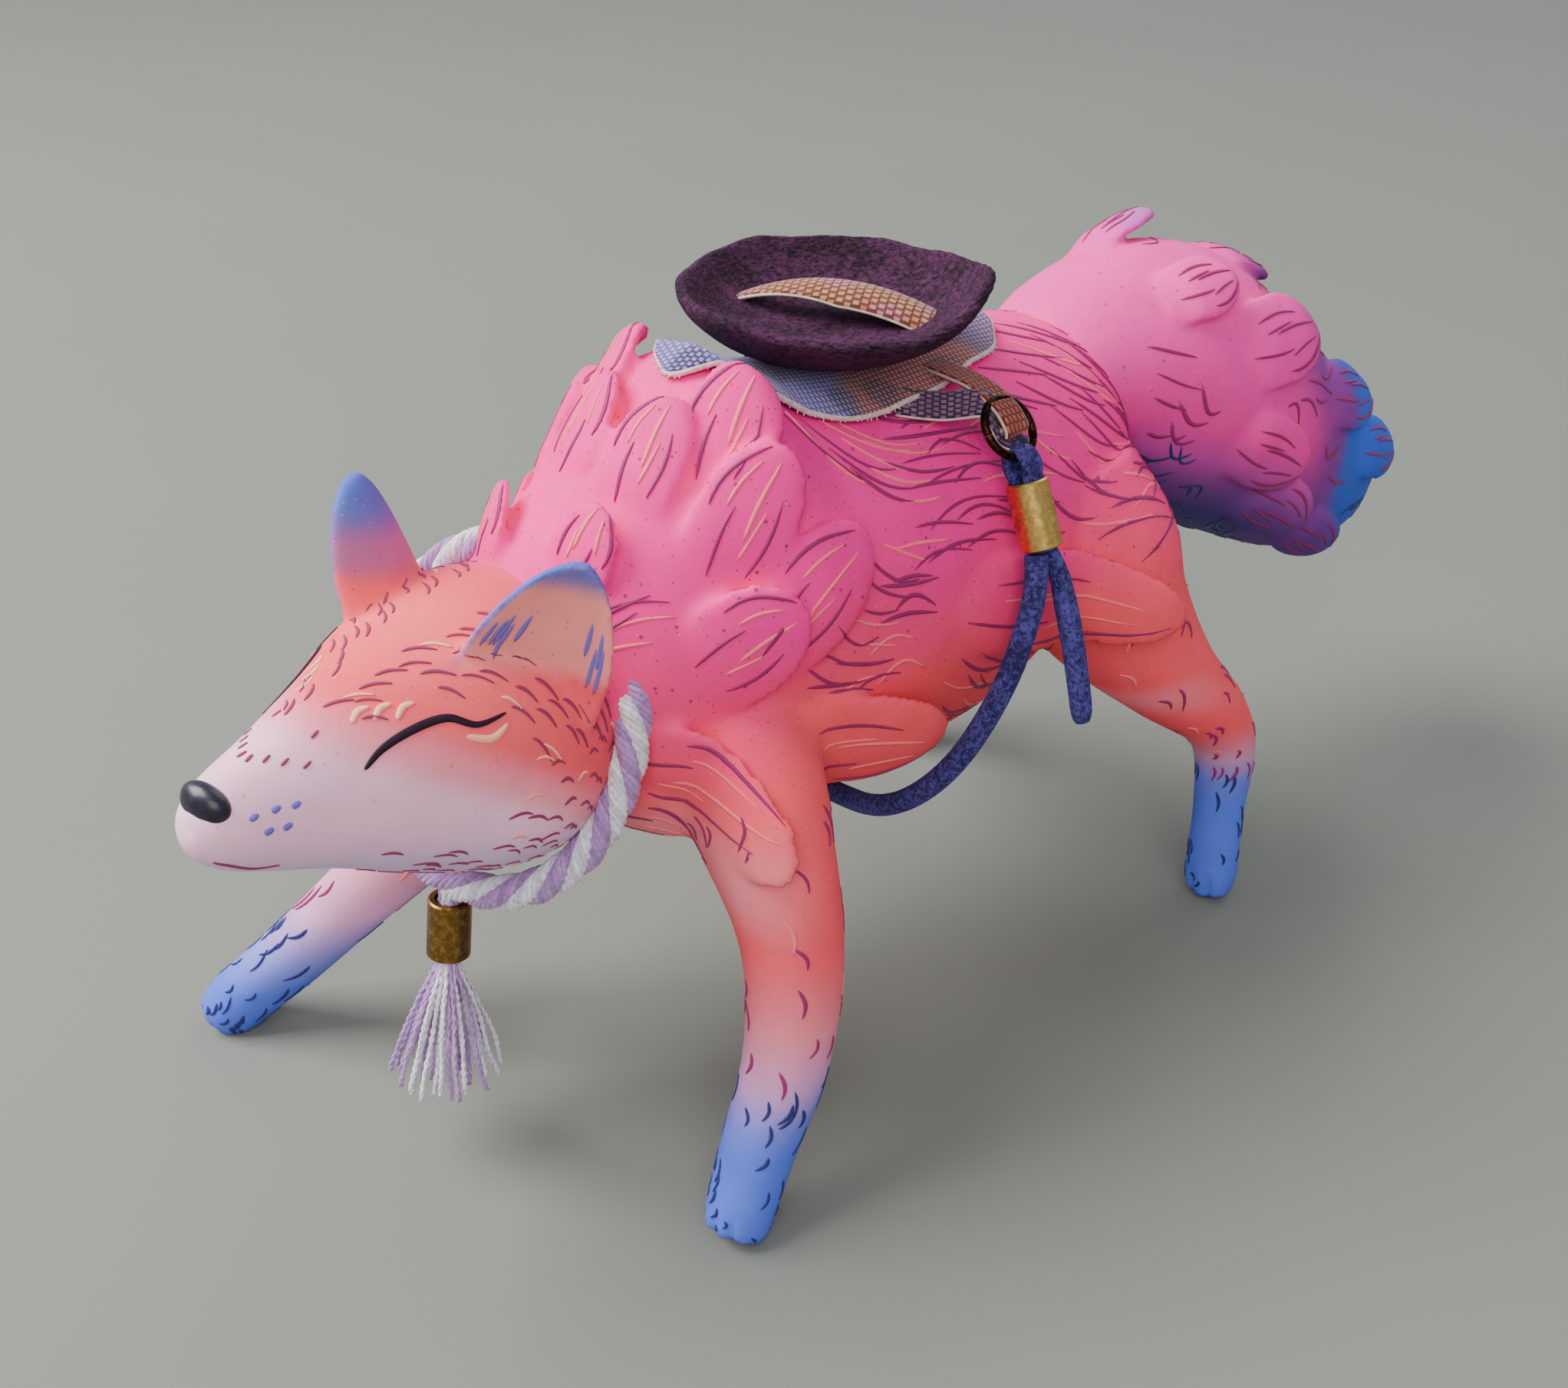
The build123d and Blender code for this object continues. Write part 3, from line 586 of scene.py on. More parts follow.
def woven_material(name, shades):
    """Plain weave on the cloth's own UV (in millimetres): dashes of light thread, with painted shade in the
    gaps between them.

    There are 1.5 dashes to the millimetre in a row and 1.15 rows, each row half a dash further on.
    The shades are two lights, mixed by noise across the cloth, and a painted shade for the gaps
    between the dashes. They tint the piece's airbrush colour.
    """
    material, tree, shader = new_material(name, roughness=0.85, specular=0.2, sheen=0.25)
    place = node(tree, "ShaderNodeUVMap", uv_map="cloth").outputs[0]
    split = node(tree, "ShaderNodeSeparateXYZ", {0: place})
    warp = math_node(tree, "MULTIPLY", split.outputs[0], 1.5)
    weft = math_node(tree, "MULTIPLY", split.outputs[1], 1.15)
    row = math_node(tree, "FLOOR", weft)
    shifted = math_node(tree, "ADD", warp, math_node(tree, "MULTIPLY", row, 0.5))
    over, high = (math_node(tree, "ABSOLUTE",
                            math_node(tree, "SUBTRACT", math_node(tree, "FRACT", count), 0.5))
                  for count in (shifted, weft))
    dash = math_node(tree, "MULTIPLY", ramp(tree, over, 0.40, 0.18), ramp(tree, high, 0.48, 0.26))
    body = airbrush(tree)
    first, second, shadow = (tuple(linear(shade)) for shade in shades)
    light = blend_color(tree, ramp(tree, noise(tree, place, 0.55, 3.0), 0.42, 0.58), first, second)
    light = blend_color(tree, 0.62, light, body)
    # Painted shade: the piece's colour darkened by the shadow colour in the gaps between the dashes.
    dark = blend_color(tree, 0.75, body, shadow, "MULTIPLY")
    tree.links.new(blend_color(tree, dash, dark, light), shader.inputs["Base Color"])
    bump(tree, shader, dash, 0.9, 0.00025)
    return material


def fibre_material(name, first, second, stretch, grain, depth):
    """Felt or suede: short fibres as stretched noise in colour and height."""
    material, tree, shader = new_material(name, roughness=0.9, specular=0.2, sheen=0.35)
    shader.inputs["Sheen Tint"].default_value = (*linear(np.clip(np.array(second) * 1.2, 0, 1)), 1)
    place = object_place(tree)
    drawn = node(tree, "ShaderNodeMapping", {"Vector": place, "Scale": stretch}).outputs[0]
    fibres = noise(tree, drawn, grain, 4.0, Roughness=0.7, Distortion=0.6)
    clouds = noise(tree, place, 160.0, 2.0)
    share = ramp(tree, math_node(tree, "ADD", math_node(tree, "MULTIPLY", fibres, 0.75),
                                 math_node(tree, "MULTIPLY", clouds, 0.25)), 0.40, 0.62)
    tree.links.new(blend_color(tree, share, tuple(linear(first)), tuple(linear(second))),
                   shader.inputs["Base Color"])
    bump(tree, shader, fibres, 0.9, depth)
    return material


def yarn_material(name):
    """Cotton yarn: the airbrush attribute with fine fibres and a soft sheen."""
    material, tree, shader = new_material(name, roughness=0.85, specular=0.25, sheen=0.3)
    fibres = noise(tree, object_place(tree), 1800.0, 3.0)
    shade = gray(tree, ramp(tree, fibres, 0.3, 0.6, 0.72, 1.0))
    tree.links.new(blend_color(tree, 1.0, airbrush(tree), shade, "MULTIPLY"), shader.inputs["Base Color"])
    bump(tree, shader, fibres, 0.5, 0.0001)
    return material


def metal_material(name, first, second, roughness=0.3, spots=0.35):
    """Worn metal: tarnish clouds and fine pits over a bright base."""
    material, tree, shader = new_material(name, roughness=roughness, metallic=1.0)
    clouds = noise(tree, object_place(tree), 1500.0, 5.0, Roughness=0.7)
    share = ramp(tree, clouds, 0.42, 0.70)
    tree.links.new(blend_color(tree, share, tuple(linear(first)), tuple(linear(second))),
                   shader.inputs["Base Color"])
    tree.links.new(ramp(tree, clouds, 0.35, 0.75, roughness - 0.06, roughness + spots * 0.5),
                   shader.inputs["Roughness"])
    bump(tree, shader, clouds, 0.18, 0.00008)
    return material


# ---------------------------------------------------------------- airbrush colours

def bands(value, stops):
    """Colours eased between (value, colour) stops."""
    keys = np.array([stop[0] for stop in stops], float)
    colors = np.array([stop[1] for stop in stops], float)
    return np.stack([np.interp(value, keys, colors[:, i]) for i in range(3)], -1)


def coat_colors(points, colors):
    """Pink back to coral flanks to pale belly, then each leg from coral through mauve to blue."""
    x, y, z = points.T
    wave = 2.2 * np.sin(x / 7.0 + y / 9) + 1.6 * np.sin(x / 3.7 + z / 5)
    height = z + wave
    coat = bands(height, [(28, colors.belly), (36, colors.coral), (50, colors.coral),
                          (60, mixed(np.array(colors.coral), colors.pink, 0.55)), (69, colors.pink)])
    chest = smooth(28, 46, x) * smooth(54, 42, height)
    coat = mixed(coat, colors.belly, 0.8 * chest)
    inner = smooth(17, 9, np.abs(y)) * smooth(44, 34, z)
    coat = mixed(coat, colors.belly, 0.6 * inner)
    leg = bands(z + 0.4 * wave, [(10, colors.blue), (13, (0.42, 0.46, 0.85)), (17.5, (0.78, 0.56, 0.78)),
                                 (24, (0.93, 0.50, 0.56)), (33, colors.coral)])
    far = bands(z + 0.4 * wave, [(7, colors.blue), (12, (0.52, 0.52, 0.86)), (19, (0.88, 0.62, 0.80)),
                                 (29, (0.95, 0.58, 0.66)), (36, colors.coral)])
    hind = bands(z + 0.4 * wave, [(15, colors.blue), (18, (0.40, 0.44, 0.82)), (22, (0.80, 0.54, 0.66)),
                                  (28, colors.coral), (34, colors.coral)])
    leg = np.where((y < 0)[:, None], far, leg)
    leg = np.where((x < 0)[:, None], hind, leg)
    share = smooth(38, 31, z)[:, None]
    return coat * (1 - share) + leg * share


def tail_colors(points):
    """Pink tail, violet below and behind, and a blue tip."""
    x, y, z = points.T
    wave = 1.8 * np.sin(x / 5 + z / 6) + 1.2 * np.sin(z / 3 - y / 4)
    centre_z = np.interp(-x, -TAIL[:, 0], TAIL[:, 2])
    centre_y = np.interp(-x, -TAIL[:, 0], TAIL[:, 1])
    low = (centre_z - z) + 0.25 * (centre_y - y) + wave
    out = bands(low, [(-12, (0.97, 0.24, 0.64)), (-1, (0.93, 0.22, 0.59)), (4, (0.74, 0.26, 0.62)),
                      (9, (0.46, 0.22, 0.54)), (15, (0.24, 0.20, 0.48))])
    out = mixed(out, (0.42, 0.20, 0.54), 0.8 * smooth(-66, -78, x + 0.5 * wave))
    out = mixed(out, (0.20, 0.36, 0.78), smooth(-78, -84, x + 0.6 * wave))
    crest = smooth(84, 89, z) * smooth(-50, -56, x)
    return mixed(out, (0.60, 0.46, 0.76), 0.8 * crest)


def head_colors(points, colors):
    """Coral crown, pink nape, pale muzzle and chin, and blue-backed, peach-faced ears."""
    x, y, z = to_head(points).T
    wave = 0.8 * np.sin(x / 3 + y / 2.5)
    crown = mixed(np.tile(colors.coral, (len(x), 1)), (0.95, 0.28, 0.52),
                  smooth(9, -2, x) * smooth(2, 12, z))
    crown = mixed(crown, (1.0, 0.42, 0.42), smooth(4, 16, x) * smooth(3, 9, z) * smooth(26, 16, x) * 0.5)
    face = smooth(-3.4, 5.4, z + wave * 0.5 - 0.30 * (x - 12))
    pale = mixed(np.tile((1.0, 0.76, 0.87), (len(x), 1)), (0.86, 0.74, 0.89), smooth(-2, -9, z))
    out = mixed(crown, pale, 1 - face)
    blush = np.exp(-((face - 0.5) / 0.3) ** 2)
    out = mixed(out, (0.97, 0.55, 0.60), 0.55 * blush * smooth(34, 20, x))
    ear = smooth(12.6, 16.5, z) * smooth(6.0, 9.0, np.abs(y) + (z - 12) * 0.3)
    back = mixed(np.tile((0.70, 0.40, 0.58), (len(x), 1)), (0.36, 0.42, 0.76), smooth(17.5, 22, z))
    back = mixed(back, colors.coral, smooth(17, 13, z))
    return mixed(out, back, ear)


# ---------------------------------------------------------------- painted strokes

def ribbon(path, width, normal):
    """A tapered stroke: its half width is width / 2 * sin(pi t)^0.55, fullest before its middle."""
    t = np.linspace(0, 1, len(path))
    half = width / 2 * np.sin(np.pi * t ** 0.8) ** 0.55 + 0.02
    side = unit(np.cross(normal, unit(np.gradient(path, axis=0)))) * half[:, None]
    return np.stack((path - side, path, path + side), 1)


def strokes_object(name, ribbons, target, material, slot, lift=0.05, thick=0.12):
    """Strokes laid on a skin: ribbons shrink-wrapped onto it, then given the paint's thickness."""
    piece = grids_object(name, ribbons, kind="sheet")
    settle(piece, SHRINKWRAP={"target": target, "wrap_method": "NEAREST_SURFACEPOINT",
                              "wrap_mode": "ABOVE_SURFACE", "offset": lift * MM})
    thicken(piece, thick)
    finish_piece(piece, material, "figure", slot)


def flowing(surface, start, angle, length, slope, bend, rows=9):
    """A path over a surface: station start - length * t, at angle + slope * t + bend * sin(pi t)."""
    t = np.linspace(0, 1, rows)
    u = start - length * t
    a = angle + slope * t + bend * np.sin(np.pi * t)
    path = surface(u, a)
    normal = unit(np.cross(surface(u, a + 0.05) - path, surface(u + 0.05, a) - path))
    return path, normal


def petal_path(sheet, out, s_from, s_to, across_from, across_to, bend, rows=9):
    """A path over a petal's face, from root to tip share and across from -1 to 1."""
    t = np.linspace(0, 1, rows)
    s = (s_from + (s_to - s_from) * t) * (sheet.shape[0] - 1)
    q = (across_from + (across_to - across_from) * t + bend * np.sin(np.pi * t) + 1) / 2
    q = np.clip(q, 0, 1) * (sheet.shape[1] - 1)
    row = np.clip(s.astype(int), 0, sheet.shape[0] - 2)
    column = np.clip(q.astype(int), 0, sheet.shape[1] - 2)
    a, b = (s - row)[:, None], (q - column)[:, None]
    points = ((sheet[row, column] * (1 - b) + sheet[row, column + 1] * b) * (1 - a)
              + (sheet[row + 1, column] * (1 - b) + sheet[row + 1, column + 1] * b) * a)
    return points + out, np.tile(out, (rows, 1))


def near_tuft(point, tufts):
    """Whether a point lies on one of the tufts."""
    for root, tip, width, _ in tufts:
        root, tip = np.asarray(root, float), np.asarray(tip, float)
        share = np.clip(np.dot(point - root, tip - root) / np.dot(tip - root, tip - root), 0.1, 1)
        if np.linalg.norm(point - root - (tip - root) * share) < width * 0.62:
            return True
    return False


def with_mirror(tufts):
    """Tufts and their images on the other side."""
    flip = np.array((1, -1, 1))
    return list(tufts) + [(np.array(root) * flip, np.array(tip) * flip, width, lift)
                          for root, tip, width, lift in tufts]


def tuft_strokes(tufts, centre_of, solids, rng):
    """Three dark and three pale strokes on each petal: one along an edge near its tip, partly painted shade
    there, the rest inside it.
    """
    dark, pale = [], []
    for tuft in tufts:
        sheet, _, out = tuft_shape(tuft, centre_of(tuft), solids)
        sign = rng.choice((-1, 1))
        for strokes, low, high, a, b, bend, width in (
                # The first: plum paint along the edge near the tip, which also stands as painted shade at the
                # petal's edge.
                (dark, 0.44, 0.92, 0.74 * sign, 0.40 * sign, 0.16 * sign, 0.44),
                (dark, 0.22, 0.66, -0.52 * sign, -0.44 * sign, -0.06 * sign, 0.36),
                (dark, 0.12, 0.50, 0.22 * sign, 0.30 * sign, 0.05 * sign, 0.36),
                (pale, 0.36, 0.84, -0.12 * sign, -0.10 * sign, 0.05, 0.40),
                (pale, 0.26, 0.56, -0.20 * sign, -0.26 * sign, 0.0, 0.30),
                (pale, 0.48, 0.80, 0.44 * sign, 0.30 * sign, 0.05, 0.30)):
            path, normal = petal_path(sheet, out, low, high, a, b, bend)
            strokes.append(ribbon(path, width, normal))
    return dark, pale


# ---------------------------------------------------------------- cloth and cord shapes

def torso_top(x, y):
    """Height of the back at (x, y), from the torso's ellipses."""
    row = np.stack([np.interp(x, TORSO[:, 0], TORSO[:, i]) for i in range(5)], -1)
    share = np.clip(1 - ((y - row[..., 1]) / row[..., 3]) ** 2, 0.02, 1)
    return row[..., 2] + row[..., 4] * np.sqrt(share)


def cloth_mesh(name, grid, flat, color):
    """A sheet from a grid of points, with its flat coordinates in millimetres as its UV."""
    piece = grids_object(name, [grid], linear(color), "sheet")
    layer = piece.data.uv_layers.new(name="cloth")
    loops = np.zeros(len(piece.data.loops), int)
    piece.data.loops.foreach_get("vertex_index", loops)
    layer.data.foreach_set("uv", flat.reshape(-1, 2)[loops].ravel())
    return piece


def yarn_piece(name, grids, color, material, slot, *nodes, body="figure", kind="tube"):
    """Yarns in one mesh, coloured all over or point by point, with their own cotton material."""
    piece = grids_object(name, grids, color, kind)
    return finish_piece(piece, yarn_material(material), body, slot, *nodes)


def cotton_shades(trim):
    """Undyed and dyed yarn."""
    return linear(tuple(trim.white)), linear(tuple(trim.lilac))


def squared_tube(line, wide_way, wide, thick_way, thick, corners, columns=20):
    """A flat lace's grid along a line: a squared-off circle, wide by thick from its middle.

    Cos and sin are divided by the larger of the two to the power given by corners, so that 1 would
    make a rectangle and 0 an ellipse.
    """
    angle = round_angles(columns)
    square = 1 / np.maximum(np.abs(np.cos(angle)), np.abs(np.sin(angle))) ** corners
    return (line[:, None] + wide_way * wide * (np.cos(angle) * square)[None, :, None]
            + thick_way * thick * (np.sin(angle) * square)[None, :, None])


def twisted(path, strands, lay, pitch, phase=0.0, closed=False):
    """Strands wound round a path: path + lay * (side * cos + up * sin), turning once in each pitch.

    On a closed path the turns are stretched to a whole number, so every strand meets its own start.
    """
    run = ring_run(path) if closed else unit(np.gradient(path, axis=0))
    plane = unit(np.cross(path[len(path) // 3] - path[0], path[2 * len(path) // 3] - path[0]) + 1e-6)
    side = unit(np.cross(run, plane))
    up = np.cross(side, run)
    steps = np.linalg.norm(np.diff(path, axis=0, append=path[:1]), axis=1)
    gone = np.concatenate(((0,), np.cumsum(steps)[:-1]))
    turns = 2 * math.pi * gone / pitch
    if closed:
        turns *= round(steps.sum() / pitch) * pitch / steps.sum()
    for index in range(strands):
        angle = turns + phase + 2 * math.pi * index / strands
        yield path + lay * (side * np.cos(angle)[:, None] + up * np.sin(angle)[:, None])


# ---------------------------------------------------------------- settings

class FoxColors(bpy.types.PropertyGroup):
    """The clay's airbrushed colours, as display colours."""

    pink: FloatVectorProperty(name="Pink", description="Back and mane", subtype="COLOR_GAMMA",
                              default=(1.0, 0.13, 0.58), min=0, max=1)
    coral: FloatVectorProperty(name="Coral", description="Flanks, crown and upper legs",
                               subtype="COLOR_GAMMA", default=(0.98, 0.31, 0.36), min=0, max=1)
    belly: FloatVectorProperty(name="Belly", description="Chest and inner thighs",
                               subtype="COLOR_GAMMA", default=(0.93, 0.72, 0.77), min=0, max=1)
    blue: FloatVectorProperty(name="Blue", description="Paws",
                              subtype="COLOR_GAMMA", default=(0.33, 0.43, 0.86), min=0, max=1)
    plum: FloatVectorProperty(name="Plum", description="Dark fur strokes", subtype="COLOR_GAMMA",
                              default=(0.58, 0.13, 0.38), min=0, max=1)
    cream: FloatVectorProperty(name="Cream", description="Pale fur strokes", subtype="COLOR_GAMMA",
                               default=(1.0, 0.46, 0.50), min=0, max=1)
    navy: FloatVectorProperty(name="Navy", description="Strokes on blue", subtype="COLOR_GAMMA",
                              default=(0.13, 0.15, 0.42), min=0, max=1)


class FoxClay(bpy.types.PropertyGroup):
    """How fine the clay skins are, and how thick the fur strokes lie."""

    coat_voxel: FloatProperty(name="Coat voxel", description="Remesh size of the body's skin",
                              default=0.00060, min=0.0003, max=0.002, unit="LENGTH")
    head_voxel: FloatProperty(name="Head voxel", description="Remesh size of the head's skin",
                              default=0.00040, min=0.0003, max=0.002, unit="LENGTH")
    tail_voxel: FloatProperty(name="Tail voxel", description="Remesh size of the tail's skin",
                              default=0.00050, min=0.0003, max=0.002, unit="LENGTH")
    blending: IntProperty(name="Blending", description="Smoothing passes where tufts join the clay",
                          default=3, min=0, max=40)
    strokes: IntProperty(name="Strokes", description="Fur strokes on the body", default=1300, min=0,
                         max=3000)


class FoxTrim(bpy.types.PropertyGroup):
    """Rope, felt, cloth and lace."""

    rope_radius: FloatProperty(name="Rope radius", description="Collar rope's radius", default=0.0020,
                               min=0.0005, max=0.005, unit="LENGTH")
    rope_pitch: FloatProperty(name="Rope pitch", description="Length of one turn of a strand",
                              default=0.0165, min=0.004, max=0.05, unit="LENGTH")
    yarns: IntProperty(name="Tassel yarns", description="Yarns in the tassel", default=46, min=8, max=200)
    dish_radius: FloatProperty(name="Dish radius", description="Felt dish's rim radius", default=0.0173,
                               min=0.005, max=0.05, unit="LENGTH")
    felt: FloatVectorProperty(name="Felt", description="Dish felt", subtype="COLOR_GAMMA",
                              default=(0.13, 0.07, 0.13), min=0, max=1)
    lilac: FloatVectorProperty(name="Lilac", description="Dyed yarns", subtype="COLOR_GAMMA",
                               default=(0.74, 0.56, 0.80), min=0, max=1)
    white: FloatVectorProperty(name="White", description="Undyed yarns", subtype="COLOR_GAMMA",
                               default=(0.95, 0.93, 0.97), min=0, max=1)
    suede: FloatVectorProperty(name="Suede", description="Lace", subtype="COLOR_GAMMA",
                               default=(0.21, 0.18, 0.44), min=0, max=1)
    brass: FloatVectorProperty(name="Brass", description="Tubes", subtype="COLOR_GAMMA",
                               default=(0.95, 0.76, 0.42), min=0, max=1)


class FoxSettings(bpy.types.PropertyGroup):
    """Everything that a user would change."""

    colors: PointerProperty(type=FoxColors)
    clay: PointerProperty(type=FoxClay)
    trim: PointerProperty(type=FoxTrim)


def plain(colors):
    """The colour settings as tuples, in a namespace."""
    return SimpleNamespace(**{key: tuple(getattr(colors, key)) for key in FoxColors.__annotations__})


def torso_centre(tuft):
    """The point of the spine that a body tuft stands out from."""
    middle = (np.asarray(tuft[0], float) + np.asarray(tuft[1], float)) / 2
    return np.array((min(max(middle[0] - 2, -40), 44), 0, 55.0))


def tail_centre(tuft):
    """The point of the tail's middle line nearest the middle of a tuft."""
    middle = (np.asarray(tuft[0], float) + np.asarray(tuft[1], float)) / 2
    return tail_line_near(middle)


def tail_line_near(point):
    """The point of the tail's middle line nearest a point."""
    line = along(TAIL, np.linspace(0, len(TAIL) - 1, 200))[:, :3]
    return line[np.argmin(np.linalg.norm(line - point, axis=1))]


# ---------------------------------------------------------------- operators

class FOX_OT_coat(bpy.types.Operator):
    """Body, legs and body tufts as one skin of blended clay, airbrushed and flat under its paws"""

    bl_idname = "fox.coat"
    bl_label = "Coat"

    def execute(self, context):
        settings = context.scene.fox
        grids = [surface_grid(torso_surface, len(TORSO) - 1, 90, 72)]
        grids += [surface_grid(partial(limb_surface, stations), len(stations) - 1, 70, 36)
                  for stations in LIMBS.values()]
        grids += [tuft_grid(tuft, torso_centre(tuft), (TORSO, *LIMBS.values()))
                  for tuft in with_mirror(COAT_TUFTS) + MIDLINE_TUFTS]
        piece = grids_object("coat_skin", grids)
        settle(piece, REMESH={"mode": "VOXEL", "voxel_size": settings.clay.coat_voxel},
               SMOOTH={"factor": 0.5, "iterations": settings.clay.blending})
        points = mesh_points(piece)
        low = points[:, 2] < SOLE
        points[low, 2] = np.maximum(points[low, 2] * 0.45 + 0.1, 0.02)
        self.cut_toes(points)
        store_points(piece, points)
        paint(piece, "airbrush", linear(coat_colors(points, plain(settings.colors))))
        z = points[:, 2]
        paint(piece, "speckle", np.clip(smooth(38, 66, z) * 0.75 + 0.25, 0, 1) * smooth(2, 12, z))
        finish_piece(piece, clay_material("coat_clay", 0.42, 0.10), "figure", "clay_coat",
                     "torso", "front_leg_left", "front_leg_right", "hind_leg_left", "hind_leg_right",
                     *coat_tuft_nodes())
        return {"FINISHED"}

    @staticmethod
    def cut_toes(points):
        """Two notches over each paw's front: the clay drops 0.5 mm inside lines from toe to instep."""
        for stations, heading in zip(LIMBS.values(), ((1, 0.25), (0.8, -0.6), (1, 0.1), (1, -0.1))):
            foot = stations[-1, :2]
            ahead = unit(np.array(heading, float))
            side = np.array((-ahead[1], ahead[0]))
            flat = points[:, :2] - foot
            front = flat @ ahead
            across = flat @ side
            near = (points[:, 2] < 6) & (np.linalg.norm(flat, axis=1) < 8) & (front > 0.5)
            notch = np.exp(-((np.abs(across) - 1.2) / 0.34) ** 2) * smooth(6, 3, points[:, 2]) * near
            points[:, :2] -= ahead * (0.55 * notch)[:, None]


def store_points(piece, points):
    """Write a piece's points back, from millimetres in the fox's axes."""
    piece.data.vertices.foreach_set("co", ((points - FOOTPRINT) * MM).ravel())
    piece.data.update()


def coat_tuft_nodes():
    """The CAD nodes of the body's tufts."""
    return [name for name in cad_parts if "_tuft_" in name and not name.startswith("tail_")]


class FOX_OT_head(bpy.types.Operator):
    """Head and ears as one skin of blended clay"""

    bl_idname = "fox.head"
    bl_label = "Head"

    def execute(self, context):
        settings = context.scene.fox
        grids = [surface_grid(head_surface, len(HEAD) - 1, 100, 72), self.ear(1), self.ear(-1)]
        piece = grids_object("head_skin", grids)
        settle(piece, REMESH={"mode": "VOXEL", "voxel_size": settings.clay.head_voxel},
               SMOOTH={"factor": 0.5, "iterations": settings.clay.blending + 4})
        points = mesh_points(piece)
        colors = head_colors(points, plain(settings.colors))
        normals = mesh_normals(piece) @ HEAD_AXES.T
        local = to_head(points)
        for side in (1, -1):
            face = ear_facing(side)
            inner = smooth(0.15, 0.5, normals @ face) * smooth(10.6, 13.5, local[:, 2])
            inner *= smooth(5, 7, local[:, 1] * side)
            edge = smooth(0.88, 1.0, ear_edge(local, side))
            peach = mixed(np.tile((1.0, 0.58, 0.56), (len(points), 1)), (0.38, 0.42, 0.82), edge)
            colors = mixed(colors, peach, inner)
            tip = smooth(21, 24, local[:, 2]) * (local[:, 1] * side > 5)
            colors = mixed(colors, (0.32, 0.38, 0.76), tip * 0.8)
        paint(piece, "airbrush", linear(colors))
        paint(piece, "speckle", 0.35 + 0.4 * smooth(4, 14, local[:, 2]))
        finish_piece(piece, clay_material("head_clay", 0.28, 0.30), "figure", "clay_face",
                     "head", "ear_left", "ear_right")
        return {"FINISHED"}

    @staticmethod
    def ear(side, rows=44, columns=40):
        """A cupped petal, 2.6 mm thick to each side at its root and 0.8 at its tip.

        Its centre runs along the line to its tip, its half width is the chord times ear_half, and its
        face is bowed in by up to 2.7 mm times 1 - across^2.
        """
        s = np.linspace(0, 1, rows)
        base, rise, chord = ear_lines(side)
        face = ear_facing(side)
        half = ear_half(s)
        centre = (base + rise * (s * EAR_REACH - EAR_ROOT)[:, None]
                  + face * np.sin(np.pi * s * 0.9)[:, None])
        angle = round_angles(columns)
        across, up = np.cos(angle), np.sign(np.sin(angle)) * np.abs(np.sin(angle)) ** 0.45
        thick = np.interp(s, (0, 0.25, 0.8, 1), (2.6, 1.05, 0.85, 0.8))
        cup = -2.7 * smooth(0.0, 0.35, s)[:, None] * (1 - across ** 2) * half[:, None]
        local = (centre[:, None] + chord * (half[:, None] * across)[..., None]
                 + face * (thick[:, None] * up + cup)[..., None])
        return in_head(local)


def ear_half(s, least=0.001):
    """The ear's half width as a share of its base's: (1 - s^2.2)^0.6."""
    return np.clip(1 - s ** 2.2, least, 1) ** 0.6


def ear_lines(side):
    """The ear's base centre, the line from it to the tip, and half its base chord."""
    front, back, tip = np.array(EAR_CORNERS[side])
    base = (front + back) / 2
    return base, tip - base, (front - back) / 2


def ear_facing(side):
    """The way that the ear's hollow faces."""
    _, rise, chord = ear_lines(side)
    facing = unit(np.cross(chord, rise) * side)
    return facing if facing[0] + 1.2 * side * facing[1] > 0 else -facing


def ear_edge(local, side):
    """How near a point is to the ear's outline: 0 in the middle, 1 on the edge."""
    base, rise, chord = ear_lines(side)
    offset = local - base
    s = np.clip((offset @ rise / (rise @ rise) + EAR_ROOT) / EAR_REACH, 0, 1)
    across = (offset - np.outer(s * EAR_REACH - EAR_ROOT, rise)) @ chord / (chord @ chord)
    return np.abs(across) / ear_half(s, 0.02)


class FOX_OT_tail(bpy.types.Operator):
    """Tail with its tufts, blended and airbrushed from pink to blue"""

    bl_idname = "fox.tail"
    bl_label = "Tail"

    def execute(self, context):
        settings = context.scene.fox
        grids = [surface_grid(partial(limb_surface, TAIL), len(TAIL) - 1, 100, 72)]
        grids += [tuft_grid(tuft, tail_centre(tuft), (TAIL,)) for tuft in TAIL_TUFTS]
        piece = grids_object("tail_skin", grids)
        settle(piece, REMESH={"mode": "VOXEL", "voxel_size": settings.clay.tail_voxel},
               SMOOTH={"factor": 0.5, "iterations": settings.clay.blending})
        points = mesh_points(piece)
        paint(piece, "airbrush", linear(tail_colors(points)))
        paint(piece, "speckle", 0.3 + 0.4 * smooth(60, 76, points[:, 2]))
        nodes = [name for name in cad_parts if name.startswith("tail")]
        finish_piece(piece, clay_material("tail_clay", 0.3, 0.08), "figure", "clay_tail", *nodes)
        return {"FINISHED"}


